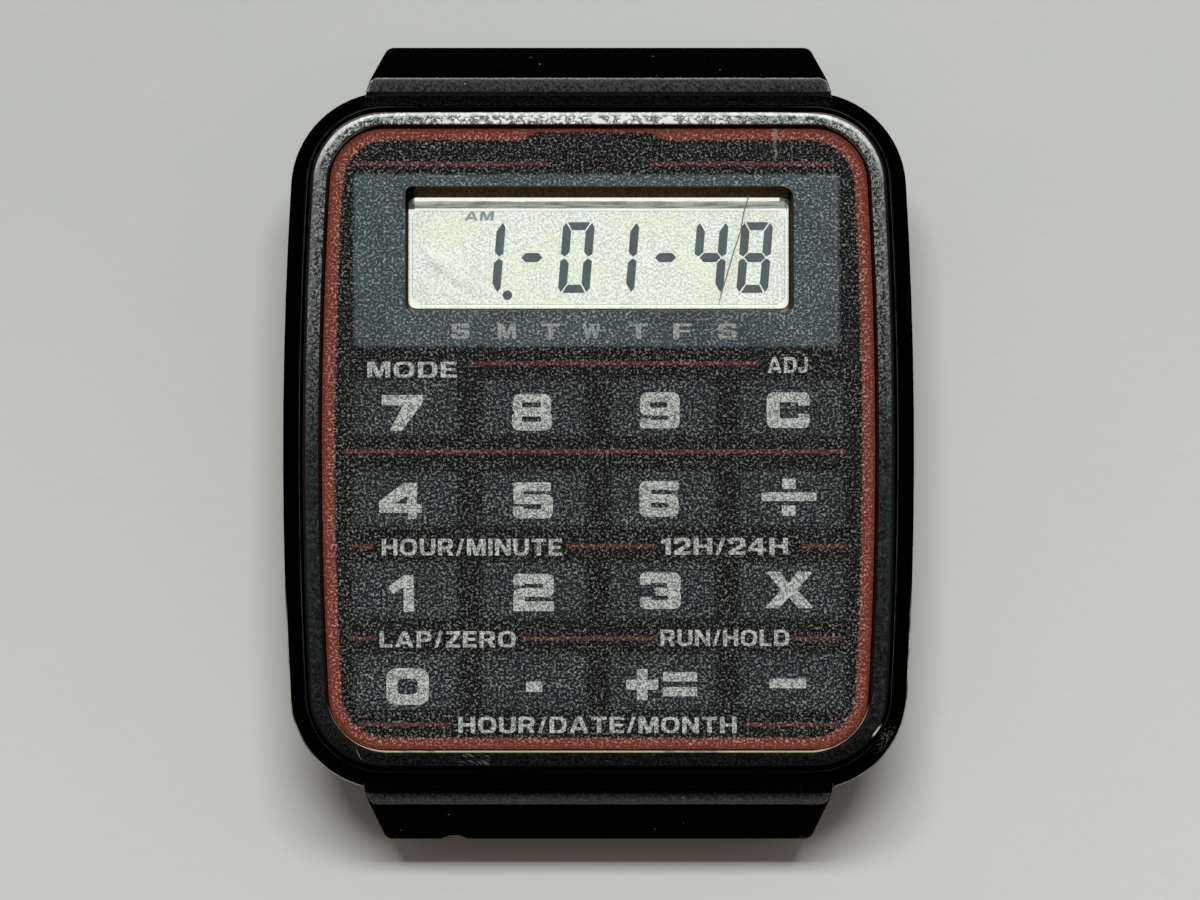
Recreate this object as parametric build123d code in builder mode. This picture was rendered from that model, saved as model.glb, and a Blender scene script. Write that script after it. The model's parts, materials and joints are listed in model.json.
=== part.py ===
from build123d import *
from math import hypot, sqrt
import os

# A calculator watch head: a flat keypad and a liquid crystal window in a case with hooded lugs.
# X runs to the right of the face, Y towards twelve o'clock and Z out of the face.
# The origin is the middle of the case back's outer face. All sizes are in millimetres.

# The face: the printed film that fills the bezel, with straight ends and bulging sides
face_corner_radius = 3.0
face_side_radius = 243.0

# The stack of layers, from the case back's outer face up to the bezel's crest
back_thickness = 0.9
buzzer_room = 0.3
holder_height = 3.5
main_board_thickness = 0.6
frame_thickness = 1.45
keypad_board_thickness = 0.3
spacer_thickness = 0.35
front_wall_thickness = 1.0
film_thickness = 0.25
crest_rise = 0.35

# Small gaps between pieces
loose_gap = 0.3
module_gap = 0.1
slip_gap = 0.05
touch_gap = 0.02

# The case's sides: how far each level stands out from the face, and where the levels are
back_proud = 0.3
rear_rim_out = 1.6
waist_out = 2.38
waist_drop = 2.4
shoulder_out = 1.4
bezel_seat_depth = 0.4
cavity_inset = 0.75
cavity_corner_radius = 6.5

# The bezel ring's profile, which stands out from the face too
bezel_foot_out = 1.36
bezel_crease_side_out = 1.05
bezel_crease_end_out = 0.88
bezel_crease_rise = 0.72
bezel_crest_outer = 0.26
bezel_crest_inner = 0.2

# The hooded lugs and the strap's room under them
lug_reach = 2.92
lug_ear_width = 3.85
lug_side_taper = 1.0
lug_corner_radius = 0.5
lug_shelf_drop = 1.8
lug_shelf_fall = 0.2
lug_shelf_width = 0.62
lug_nose_height = 2.4
lug_lip_height = 1.6
lug_root_height = 1.0
hood_thickness = 0.8
strap_width = 18.0
strap_room_sink = 0.73
strap_bar_setback = 1.3
strap_bar_height = 2.3
strap_bar_hole_radius = 0.45
nick_place = 8.05
nick_width = 1.5
nick_depth = 0.33

# The display window in the face
window_drop = 6.55
window_corner_radius = 0.45
window_side_gap = 0.185
window_lower_gap = 0.16
window_upper_gap = 0.62
crystal_side_edge = 0.165
crystal_lower_edge = 0.22
crystal_upper_edge = 0.68
crystal_thickness = 0.75
view_side_margin = 4.85
view_height = 5.14
ledge_thickness = 0.3
seal_thickness = 0.1

# The keys: flat pads in the film, with a plunger each
key_columns = 4
key_rows = 4
key_pitch_x = 7.0
key_pitch_y = 4.97
key_gap_x = 1.32
key_gap_y = 1.92
key_side_margin = 1.71
keypad_drop = 8.69
lowest_row_rise = 3.65
key_corner_radius = 0.25
key_pocket_depth = 0.35
plunger_radius = 0.9
plunger_gap = 0.08
dome_radius = 1.7
dome_thickness = 0.06

# The display's own layers
lcd_side_border = 0.9
lcd_lower_border = 1.22
lcd_upper_border = 2.24
lcd_contact_ledge = 1.1
lcd_glass_thickness = 0.55
polariser_thickness = 0.14
polariser_inset = 0.3
rubber_strip_width = 0.9
lcd_strip_inset = 1.1
keypad_strip_length = 16.0
keypad_strip_setback = 1.35

# The battery and what holds it, placed by shares of the module's half width and half height
battery_radius = 5.8
battery_height = 2.1
battery_cap_inset = 0.7
battery_wall_thickness = 0.25
battery_crimp_drop = 0.2
battery_place_shares = (0.3, -0.4)
clamp_reach = 1.7
clamp_width = 5.0
clamp_thickness = 0.1
clamp_leg_height = 1.2
contact_width = 1.6
contact_length = 4.0
contact_thickness = 0.15
contact_window_radius = 3.2

# The parts on the main board's underside
chip_side = 5.6
chip_height = 0.7
chip_slope = 25
chip_place_shares = (-0.3, 0.2)
quartz_radius = 1.0
quartz_length = 6.0
quartz_place_shares = (-0.7, -0.36)
trimmer_side = 3.0
trimmer_height = 0.9
trimmer_rotor_radius = 1.1
trimmer_rotor_thickness = 0.45
trimmer_slot_width = 0.3
trimmer_slot_depth = 0.2
trimmer_place_shares = (-0.74, 0.62)
capacitor_length = 1.0
capacitor_width = 0.5
capacitor_height = 0.5
capacitor_pitch = 1.6
capacitor_count = 3
capacitor_place_shares = (-0.74, 0.03)
coil_radius = 2.0
coil_core_radius = 1.3
coil_height = 1.8
coil_flange = 0.3
coil_place_shares = (0.55, 0.3)

# The buzzer on the case back and the spring that feeds it
buzzer_plate_radius = 6.0
buzzer_plate_thickness = 0.1
buzzer_rim = 1.5
buzzer_ceramic_thickness = 0.14
buzzer_place_shares = (0.0, 0.5)
spring_radius = 0.8
spring_wire_radius = 0.1
spring_turns = 4
spring_place_shares = (0.2, 0.5)

# The screws, and the holder's feet
module_screw_radius = 0.5
module_screw_head_radius = 0.85
module_screw_head_height = 0.4
module_screw_end_gap = 0.25
module_screw_inset = 1.5
module_screw_lower_shares = (0.8, -0.745)
foot_radius = 0.7
foot_upper_shares = (0.88, 0.05)
foot_lower_shares = (0.6, -0.9)
back_screw_radius = 0.45
back_screw_head_radius = 0.95
back_screw_head_height = 0.5
back_screw_length = 2.8
back_screw_inset = 2.3
screw_slot_width = 0.3
screw_slot_depth = 0.25

# The case back and its gasket
back_recess_out = 0.9
back_edge_bevel = 0.3
gasket_inset = 0.3
gasket_width = 0.5
gasket_thickness = 0.5

# Levels worked out from the stack
holder_bottom = back_thickness + buzzer_room
main_board_bottom = holder_bottom + holder_height
frame_bottom = main_board_bottom + main_board_thickness
keypad_board_bottom = frame_bottom + frame_thickness
spacer_bottom = keypad_board_bottom + keypad_board_thickness
wall_bottom = spacer_bottom + spacer_thickness
wall_top = wall_bottom + front_wall_thickness
film_top = wall_top + film_thickness
crest_level = film_top + crest_rise
seam_level = wall_top - bezel_seat_depth
waist_level = seam_level - waist_drop
ledge_level = wall_bottom + ledge_thickness
crystal_bottom = ledge_level + seal_thickness
polariser_bottom = wall_bottom - touch_gap - polariser_thickness
front_glass_bottom = polariser_bottom - lcd_glass_thickness
rear_glass_bottom = front_glass_bottom - lcd_glass_thickness
reflector_bottom = rear_glass_bottom - polariser_thickness

# The face's size, worked out from the keys and the window, and places worked out from it
key_width = key_pitch_x - key_gap_x
key_depth = key_pitch_y - key_gap_y
face_width = key_pitch_x * (key_columns - 1) + key_width + 2 * key_side_margin
face_height = window_drop + keypad_drop + key_pitch_y * (key_rows - 1) + lowest_row_rise
face_half_width = face_width / 2
face_half_height = face_height / 2
case_end = face_half_height + waist_out
lug_tip = case_end + lug_reach
lug_root_width = strap_width + 2 * lug_ear_width
lug_tip_width = lug_root_width - 2 * lug_side_taper
cavity_half_width = face_half_width - cavity_inset
cavity_half_height = face_half_height - cavity_inset
module_half_width = cavity_half_width - module_gap
module_half_height = cavity_half_height - module_gap
module_corner_radius = cavity_corner_radius - module_gap
view_width = face_width - 2 * view_side_margin
crystal_width = view_width + 2 * crystal_side_edge
crystal_height = crystal_lower_edge + view_height + crystal_upper_edge
window_width = crystal_width + 2 * window_side_gap
window_height = window_lower_gap + crystal_height + window_upper_gap
lcd_width = view_width + 2 * lcd_side_border
lcd_height = lcd_lower_border + view_height + lcd_upper_border
lcd_strip_length = lcd_width - 2 * lcd_strip_inset
window_y = face_half_height - window_drop
crystal_y = window_y + (window_lower_gap - window_upper_gap) / 2
view_y = crystal_y + (crystal_lower_edge - crystal_upper_edge) / 2
lcd_y = view_y + (lcd_upper_border - lcd_lower_border) / 2
lcd_lower_edge = lcd_y - lcd_height / 2
keypad_y = lowest_row_rise - face_half_height + key_pitch_y * (key_rows - 1) / 2
keypad_board_end = lcd_lower_edge - loose_gap
keypad_strip_y = keypad_board_end - keypad_strip_setback + rubber_strip_width / 2
strap_room_root = case_end - strap_room_sink
strap_bar_y = strap_room_root + strap_bar_setback
shelf_level = seam_level - lug_shelf_drop
shelf_edge_level = shelf_level - lug_shelf_fall
shelf_edge_y = case_end + lug_shelf_width
hood_slope = (lug_tip - shelf_edge_y) / (shelf_edge_level - lug_nose_height)
dome_height = spacer_thickness - touch_gap
battery_top = holder_bottom + battery_height
battery_cap_radius = battery_radius - battery_cap_inset
clamp_length = 2 * (battery_radius + clamp_reach)
buzzer_ceramic_radius = buzzer_plate_radius - buzzer_rim
module_screw_bite = frame_thickness - module_screw_end_gap

upwards = (Align.CENTER, Align.CENTER, Align.MIN)


def module_place(shares):
    """A point of the module, from its shares of the half width and the half height."""
    return (shares[0] * module_half_width, shares[1] * module_half_height)


def both_sides(shares):
    """A point of the module and its twin on the other side of the middle."""
    x, y = module_place(shares)
    return [(x, y), (-x, y)]


def barrel(side_out, end_out):
    """The face's outline, grown outwards by side_out at its sides and end_out at its ends."""
    half_width = face_half_width + side_out
    half_height = face_half_height + end_out
    side_radius = face_side_radius + side_out
    sag = side_radius - sqrt(side_radius**2 - half_height**2)
    corner_x = half_width - sag
    corner_radius = face_corner_radius + (side_out + end_out) / 2
    with BuildSketch() as outline:
        with BuildLine():
            Line((-corner_x, half_height), (corner_x, half_height))
            ThreePointArc((corner_x, half_height), (half_width, 0), (corner_x, -half_height))
            Line((corner_x, -half_height), (-corner_x, -half_height))
            ThreePointArc((-corner_x, -half_height), (-half_width, 0), (-corner_x, half_height))
        make_face()
        fillet(outline.vertices(), corner_radius)
    return outline.sketch


def module_outline(growth):
    """The module's rounded rectangle, grown outwards all round."""
    with BuildSketch() as outline:
        RectangleRounded(
            2 * (module_half_width + growth),
            2 * (module_half_height + growth),
            module_corner_radius + growth,
        )
    return outline.sketch


def hood_y(level, thickness):
    """How far out the hood's sloping wall stands at a level, taken in by a thickness."""
    slant = hypot(1, hood_slope)
    return lug_tip - (level - lug_nose_height) * hood_slope - thickness * slant


module_screw_x = module_half_width - module_screw_inset
module_screw_y = lcd_lower_edge - module_screw_inset
module_screw_places = [(-module_screw_x, module_screw_y), (module_screw_x, module_screw_y)]
module_screw_places += both_sides(module_screw_lower_shares)
foot_places = both_sides(foot_upper_shares) + both_sides(foot_lower_shares)
battery_place = module_place(battery_place_shares)
chip_place = module_place(chip_place_shares)
quartz_place = module_place(quartz_place_shares)
trimmer_place = module_place(trimmer_place_shares)
capacitor_place = module_place(capacitor_place_shares)
coil_place = module_place(coil_place_shares)
buzzer_place = module_place(buzzer_place_shares)
spring_place = module_place(spring_place_shares)
back_screw_x = face_half_width + back_recess_out - back_screw_inset
back_screw_y = face_half_height + back_recess_out - back_screw_inset
back_screw_places = [
    (x, y) for x in (-back_screw_x, back_screw_x) for y in (-back_screw_y, back_screw_y)
]

os.makedirs("parts", exist_ok=True)

# One lug: a hood over the strap's end, with an ear at each side, tapering in plan
with BuildPart() as lug:
    lug_inner_y = (face_half_height + back_recess_out + strap_room_root) / 2
    with BuildSketch(Plane.YZ):
        with BuildLine():
            Polyline(
                (lug_inner_y, lug_root_height),
                (lug_tip, lug_lip_height),
                (lug_tip, lug_nose_height),
                (shelf_edge_y, shelf_edge_level),
                (lug_inner_y, shelf_level),
                close=True,
            )
        make_face()
    extrude(amount=lug_root_width / 2, both=True)
    with BuildSketch(Plane.XY) as lug_plan:
        with BuildLine():
            Polyline(
                (-lug_root_width / 2, lug_inner_y),
                (-lug_root_width / 2, case_end),
                (-lug_tip_width / 2, lug_tip),
                (lug_tip_width / 2, lug_tip),
                (lug_root_width / 2, case_end),
                (lug_root_width / 2, lug_inner_y),
                close=True,
            )
        make_face()
        fillet(lug_plan.vertices().group_by(Axis.Y)[-1], lug_corner_radius)
    extrude(amount=crest_level, mode=Mode.INTERSECT)

# The strap's room under one hood, open below
with BuildPart() as strap_room:
    ceiling = shelf_level - hood_thickness
    with BuildSketch(Plane.YZ):
        with BuildLine():
            Polyline(
                (strap_room_root, 0),
                (strap_room_root, ceiling),
                (hood_y(ceiling, hood_thickness), ceiling),
                (hood_y(lug_lip_height, hood_thickness), lug_lip_height),
                (hood_y(lug_lip_height, hood_thickness), 0),
                close=True,
            )
        make_face()
    extrude(amount=strap_width / 2, both=True)

# The case body: one shell with both lugs and the front wall that carries the film
with BuildPart() as case_body:
    for level, out in (
        (back_proud, rear_rim_out),
        (waist_level, waist_out),
        (seam_level, shoulder_out),
    ):
        with BuildSketch(Plane.XY.offset(level)):
            add(barrel(out, out))
    loft(ruled=True)
    with BuildSketch(Plane.XY.offset(seam_level)):
        add(barrel(0, 0))
    extrude(amount=bezel_seat_depth)
    add(lug.part)
    mirror(lug.part, about=Plane.XZ)
    add(strap_room.part, mode=Mode.SUBTRACT)
    mirror(strap_room.part, about=Plane.XZ, mode=Mode.SUBTRACT)
    with BuildSketch(Plane.YZ):
        with Locations((strap_bar_y, strap_bar_height), (-strap_bar_y, strap_bar_height)):
            Circle(strap_bar_hole_radius)
    extrude(amount=lug_root_width / 2, both=True, mode=Mode.SUBTRACT)
    # The cavity, the back's recess and the gasket's groove
    with BuildSketch(Plane.XY.offset(back_thickness)):
        add(module_outline(module_gap))
    extrude(amount=wall_bottom - back_thickness, mode=Mode.SUBTRACT)
    with BuildSketch(Plane.XY.offset(back_proud)):
        add(barrel(back_recess_out, back_recess_out))
    extrude(amount=back_thickness - back_proud, mode=Mode.SUBTRACT)
    with BuildSketch(Plane.XY.offset(back_thickness)):
        add(module_outline(module_gap + gasket_inset + gasket_width))
        add(module_outline(module_gap + gasket_inset), mode=Mode.SUBTRACT)
    extrude(amount=gasket_thickness, mode=Mode.SUBTRACT)
    with BuildSketch(Plane.XY.offset(back_thickness)):
        with Locations(*back_screw_places):
            Circle(back_screw_radius + touch_gap)
    extrude(amount=back_screw_length, mode=Mode.SUBTRACT)
    # The window: a recess for the crystal and the view through its ledge
    with BuildSketch(Plane.XY.offset(ledge_level)):
        with Locations((0, window_y)):
            RectangleRounded(window_width, window_height, window_corner_radius)
    extrude(amount=wall_top - ledge_level, mode=Mode.SUBTRACT)
    with BuildSketch(Plane.XY.offset(wall_bottom)):
        with Locations((0, view_y)):
            RectangleRounded(view_width, view_height, window_corner_radius)
    extrude(amount=ledge_thickness, mode=Mode.SUBTRACT)
    # A pocket under each key and a hole for its plunger
    with BuildSketch(Plane.XY.offset(wall_top - key_pocket_depth)):
        with Locations((0, keypad_y)):
            with GridLocations(key_pitch_x, key_pitch_y, key_columns, key_rows):
                RectangleRounded(
                    key_width + 2 * module_gap,
                    key_depth + 2 * module_gap,
                    key_corner_radius + module_gap,
                )
    extrude(amount=key_pocket_depth, mode=Mode.SUBTRACT)
    with BuildSketch(Plane.XY.offset(wall_bottom)):
        with Locations((0, keypad_y)):
            with GridLocations(key_pitch_x, key_pitch_y, key_columns, key_rows):
                Circle(plunger_radius + plunger_gap)
    extrude(amount=front_wall_thickness, mode=Mode.SUBTRACT)
    # A worn nick in the lower hood's lip
    with BuildSketch(Plane.XY):
        with BuildLine():
            Polyline(
                (-nick_place - nick_width / 2, -lug_tip),
                (-nick_place, nick_depth - lug_tip),
                (nick_width / 2 - nick_place, -lug_tip),
                close=True,
            )
        make_face()
    extrude(amount=lug_nose_height + nick_depth, mode=Mode.SUBTRACT)
case_body.part.label = "case_body"
export_step(case_body.part, "parts/case_body.step")

# The bezel ring: a glossy outer wall, a crease, and a band that climbs to the crest
with BuildPart() as bezel_ring:
    for level, side_out, end_out in (
        (seam_level, bezel_foot_out, bezel_foot_out),
        (seam_level + bezel_crease_rise, bezel_crease_side_out, bezel_crease_end_out),
        (crest_level, bezel_crest_outer, bezel_crest_outer),
    ):
        with BuildSketch(Plane.XY.offset(level)):
            add(barrel(side_out, end_out))
    loft(ruled=True)
    for level, out in (
        (seam_level, slip_gap),
        (film_top, slip_gap),
        (crest_level, bezel_crest_inner),
    ):
        with BuildSketch(Plane.XY.offset(level)):
            add(barrel(out, out))
    loft(ruled=True, mode=Mode.SUBTRACT)
bezel_ring.part.label = "bezel_ring"
export_step(bezel_ring.part, "parts/bezel_ring.step")

# The printed film, open at the window and round each key
with BuildPart() as face_overlay:
    with BuildSketch(Plane.XY.offset(wall_top)):
        add(barrel(0, 0))
        with Locations((0, window_y)):
            RectangleRounded(window_width, window_height, window_corner_radius, mode=Mode.SUBTRACT)
        with Locations((0, keypad_y)):
            with GridLocations(key_pitch_x, key_pitch_y, key_columns, key_rows):
                RectangleRounded(
                    key_width + 2 * slip_gap,
                    key_depth + 2 * slip_gap,
                    key_corner_radius + slip_gap,
                    mode=Mode.SUBTRACT,
                )
    extrude(amount=film_thickness)
face_overlay.part.label = "face_overlay"
export_step(face_overlay.part, "parts/face_overlay.step")

# The window's crystal and the adhesive frame under it
with BuildPart() as window_crystal:
    with BuildSketch(Plane.XY.offset(crystal_bottom)):
        with Locations((0, crystal_y)):
            RectangleRounded(crystal_width, crystal_height, window_corner_radius)
    extrude(amount=crystal_thickness)
window_crystal.part.label = "window_crystal"
export_step(window_crystal.part, "parts/window_crystal.step")

with BuildPart() as window_seal:
    with BuildSketch(Plane.XY.offset(ledge_level)):
        with Locations((0, crystal_y)):
            RectangleRounded(crystal_width, crystal_height, window_corner_radius)
        with Locations((0, view_y)):
            RectangleRounded(view_width, view_height, window_corner_radius, mode=Mode.SUBTRACT)
    extrude(amount=seal_thickness)
window_seal.part.label = "window_seal"
export_step(window_seal.part, "parts/window_seal.step")

# The keys, row by row from the top: a pad level with the film and a plunger down to its dome
key_names = (
    ("key_7", "key_8", "key_9", "key_clear"),
    ("key_4", "key_5", "key_6", "key_divide"),
    ("key_1", "key_2", "key_3", "key_multiply"),
    ("key_0", "key_point", "key_plus_equals", "key_minus"),
)
for row, names in enumerate(key_names):
    for column, name in enumerate(names):
        key_x = (column - (key_columns - 1) / 2) * key_pitch_x
        key_y = keypad_y + ((key_rows - 1) / 2 - row) * key_pitch_y
        with BuildPart() as key:
            with BuildSketch(Plane.XY.offset(wall_top)):
                with Locations((key_x, key_y)):
                    RectangleRounded(key_width, key_depth, key_corner_radius)
            extrude(amount=film_thickness)
            with BuildSketch(Plane.XY.offset(wall_bottom)):
                with Locations((key_x, key_y)):
                    Circle(plunger_radius)
            extrude(amount=front_wall_thickness)
        key.part.label = name
        export_step(key.part, f"parts/{name}.step")

# One snap dome, a thin shell cut from two spheres
with BuildPart() as dome:
    dome_sphere = (dome_radius**2 + dome_height**2) / (2 * dome_height)
    with BuildSketch(Plane.XZ):
        with Locations((0, dome_height - dome_sphere)):
            Circle(dome_sphere)
            Circle(dome_sphere - dome_thickness, mode=Mode.SUBTRACT)
        Rectangle(
            dome_radius, dome_height, align=(Align.MIN, Align.MIN), mode=Mode.INTERSECT
        )
    revolve(axis=Axis.Z)

with BuildPart() as snap_domes:
    with Locations((0, keypad_y, spacer_bottom)):
        with GridLocations(key_pitch_x, key_pitch_y, key_columns, key_rows):
            add(dome.part)
snap_domes.part.label = "snap_domes"
export_step(snap_domes.part, "parts/snap_domes.step")


def keypad_sheet():
    """The keypad's outline: the module's, cut short below the display."""
    with BuildSketch() as outline:
        add(module_outline(0))
        with Locations((0, keypad_board_end)):
            Rectangle(
                2 * module_half_width,
                keypad_board_end + module_half_height,
                align=(Align.CENTER, Align.MAX),
                mode=Mode.INTERSECT,
            )
    return outline.sketch


# The spacer sheet round the domes and the board under it
with BuildPart() as dome_spacer:
    with BuildSketch(Plane.XY.offset(spacer_bottom)):
        add(keypad_sheet())
        with Locations((0, keypad_y)):
            with GridLocations(key_pitch_x, key_pitch_y, key_columns, key_rows):
                Circle(dome_radius + module_gap, mode=Mode.SUBTRACT)
    extrude(amount=spacer_thickness)
dome_spacer.part.label = "dome_spacer"
export_step(dome_spacer.part, "parts/dome_spacer.step")

with BuildPart() as keypad_board:
    with BuildSketch(Plane.XY.offset(keypad_board_bottom)):
        add(keypad_sheet())
    extrude(amount=keypad_board_thickness)
keypad_board.part.label = "keypad_board"
export_step(keypad_board.part, "parts/keypad_board.step")


def lcd_sheet(width, height):
    """A rectangle centred on the display."""
    with BuildSketch() as outline:
        with Locations((0, lcd_y)):
            Rectangle(width, height)
    return outline.sketch


# The display's layers, from the front: polariser, front glass, rear glass and reflector
rear_glass_height = lcd_height - 2 * lcd_contact_ledge
film_width = lcd_width - 2 * polariser_inset

with BuildPart() as lcd_front_polariser:
    with BuildSketch(Plane.XY.offset(polariser_bottom)):
        add(lcd_sheet(film_width, lcd_height - 2 * polariser_inset))
    extrude(amount=polariser_thickness)
lcd_front_polariser.part.label = "lcd_front_polariser"
export_step(lcd_front_polariser.part, "parts/lcd_front_polariser.step")

with BuildPart() as lcd_front_glass:
    with BuildSketch(Plane.XY.offset(front_glass_bottom)):
        add(lcd_sheet(lcd_width, lcd_height))
    extrude(amount=lcd_glass_thickness)
lcd_front_glass.part.label = "lcd_front_glass"
export_step(lcd_front_glass.part, "parts/lcd_front_glass.step")

with BuildPart() as lcd_rear_glass:
    with BuildSketch(Plane.XY.offset(rear_glass_bottom)):
        add(lcd_sheet(lcd_width, rear_glass_height))
    extrude(amount=lcd_glass_thickness)
lcd_rear_glass.part.label = "lcd_rear_glass"
export_step(lcd_rear_glass.part, "parts/lcd_rear_glass.step")

with BuildPart() as lcd_reflector:
    with BuildSketch(Plane.XY.offset(reflector_bottom)):
        add(lcd_sheet(film_width, rear_glass_height - 2 * polariser_inset))
    extrude(amount=polariser_thickness)
lcd_reflector.part.label = "lcd_reflector"
export_step(lcd_reflector.part, "parts/lcd_reflector.step")

# The striped rubber connectors: two for the display and one for the keypad
strip_offset = (lcd_height - lcd_contact_ledge) / 2
for name, strip_y, length, top in (
    ("zebra_strip_upper", lcd_y + strip_offset, lcd_strip_length, front_glass_bottom),
    ("zebra_strip_lower", lcd_y - strip_offset, lcd_strip_length, front_glass_bottom),
    ("zebra_strip_keypad", keypad_strip_y, keypad_strip_length, keypad_board_bottom),
):
    with BuildPart() as zebra_strip:
        with BuildSketch(Plane.XY.offset(frame_bottom)):
            with Locations((0, strip_y)):
                Rectangle(length, rubber_strip_width)
        extrude(amount=top - frame_bottom)
    zebra_strip.part.label = name
    export_step(zebra_strip.part, f"parts/{name}.step")

# The module frame: a plate with the display's bed and slots for the connectors
with BuildPart() as module_frame:
    with BuildSketch(Plane.XY.offset(frame_bottom)):
        add(module_outline(0))
    extrude(amount=frame_thickness)
    with BuildSketch(Plane.XY.offset(reflector_bottom)):
        add(lcd_sheet(lcd_width + 2 * module_gap, rear_glass_height + 2 * module_gap))
    extrude(amount=frame_thickness, mode=Mode.SUBTRACT)
    with BuildSketch(Plane.XY.offset(front_glass_bottom)):
        add(lcd_sheet(lcd_width + 2 * module_gap, lcd_height + 2 * module_gap))
    extrude(amount=frame_thickness, mode=Mode.SUBTRACT)
    with BuildSketch(Plane.XY.offset(frame_bottom)):
        with Locations((0, lcd_y + strip_offset), (0, lcd_y - strip_offset)):
            Rectangle(lcd_strip_length + 2 * slip_gap, rubber_strip_width + 2 * slip_gap)
        with Locations((0, keypad_strip_y)):
            Rectangle(keypad_strip_length + 2 * slip_gap, rubber_strip_width + 2 * slip_gap)
    extrude(amount=frame_thickness, mode=Mode.SUBTRACT)
    with BuildSketch(Plane.XY.offset(frame_bottom)):
        with Locations(*module_screw_places):
            Circle(module_screw_radius + touch_gap)
    extrude(amount=module_screw_bite, mode=Mode.SUBTRACT)
module_frame.part.label = "module_frame"
export_step(module_frame.part, "parts/module_frame.step")

# The main circuit board
with BuildPart() as main_board:
    with BuildSketch(Plane.XY.offset(main_board_bottom)):
        add(module_outline(0))
        with Locations(*module_screw_places):
            Circle(module_screw_radius + module_gap, mode=Mode.SUBTRACT)
    extrude(amount=main_board_thickness)
main_board.part.label = "main_board"
export_step(main_board.part, "parts/main_board.step")

# The sealed chip: a low coating with sloping sides
with BuildPart() as chip_coating:
    with BuildSketch(Plane.XY.offset(main_board_bottom)):
        with Locations(chip_place):
            RectangleRounded(chip_side, chip_side, chip_height)
    extrude(amount=chip_height, dir=(0, 0, -1), taper=chip_slope)
chip_coating.part.label = "chip_coating"
export_step(chip_coating.part, "parts/chip_coating.step")

# The timing crystal: a small can lying along Y
with BuildPart() as quartz_crystal:
    quartz_start = quartz_place[1] - quartz_length / 2
    with BuildSketch(Plane.XZ.offset(-quartz_start)):
        with Locations((quartz_place[0], main_board_bottom - quartz_radius - touch_gap)):
            Circle(quartz_radius)
    extrude(amount=-quartz_length)
quartz_crystal.part.label = "quartz_crystal"
export_step(quartz_crystal.part, "parts/quartz_crystal.step")

# The trimmer that sets the watch's rate, with its slotted rotor
rotor_top = main_board_bottom - trimmer_height + trimmer_rotor_thickness
rotor_bottom = rotor_top - trimmer_rotor_thickness
with BuildPart() as trimmer_body:
    with BuildSketch(Plane.XY.offset(rotor_bottom)):
        with Locations(trimmer_place):
            Rectangle(trimmer_side, trimmer_side)
    extrude(amount=trimmer_height)
    with BuildSketch(Plane.XY.offset(rotor_bottom)):
        with Locations(trimmer_place):
            Circle(trimmer_rotor_radius + slip_gap)
    extrude(amount=trimmer_rotor_thickness + touch_gap, mode=Mode.SUBTRACT)
trimmer_body.part.label = "trimmer_body"
export_step(trimmer_body.part, "parts/trimmer_body.step")

with BuildPart() as trimmer_rotor:
    with BuildSketch(Plane.XY.offset(rotor_bottom)):
        with Locations(trimmer_place):
            Circle(trimmer_rotor_radius)
    extrude(amount=trimmer_rotor_thickness)
    with BuildSketch(Plane.XY.offset(rotor_bottom)):
        with Locations(trimmer_place):
            Rectangle(2 * trimmer_rotor_radius, trimmer_slot_width)
    extrude(amount=trimmer_slot_depth, mode=Mode.SUBTRACT)
trimmer_rotor.part.label = "trimmer_rotor"
export_step(trimmer_rotor.part, "parts/trimmer_rotor.step")

with BuildPart() as chip_capacitors:
    with BuildSketch(Plane.XY.offset(main_board_bottom - capacitor_height)):
        with Locations(capacitor_place):
            with GridLocations(capacitor_length, capacitor_pitch, 1, capacitor_count):
                Rectangle(capacitor_length, capacitor_width)
    extrude(amount=capacitor_height)
chip_capacitors.part.label = "chip_capacitors"
export_step(chip_capacitors.part, "parts/chip_capacitors.step")

# The buzzer's coil: a core between two flanges
with BuildPart() as boost_coil:
    with Locations((*coil_place, main_board_bottom - coil_height)):
        Cylinder(coil_core_radius, coil_height, align=upwards)
        Cylinder(coil_radius, coil_flange, align=upwards)
    with Locations((*coil_place, main_board_bottom - coil_flange)):
        Cylinder(coil_radius, coil_flange, align=upwards)
boost_coil.part.label = "boost_coil"
export_step(boost_coil.part, "parts/boost_coil.step")

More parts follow.
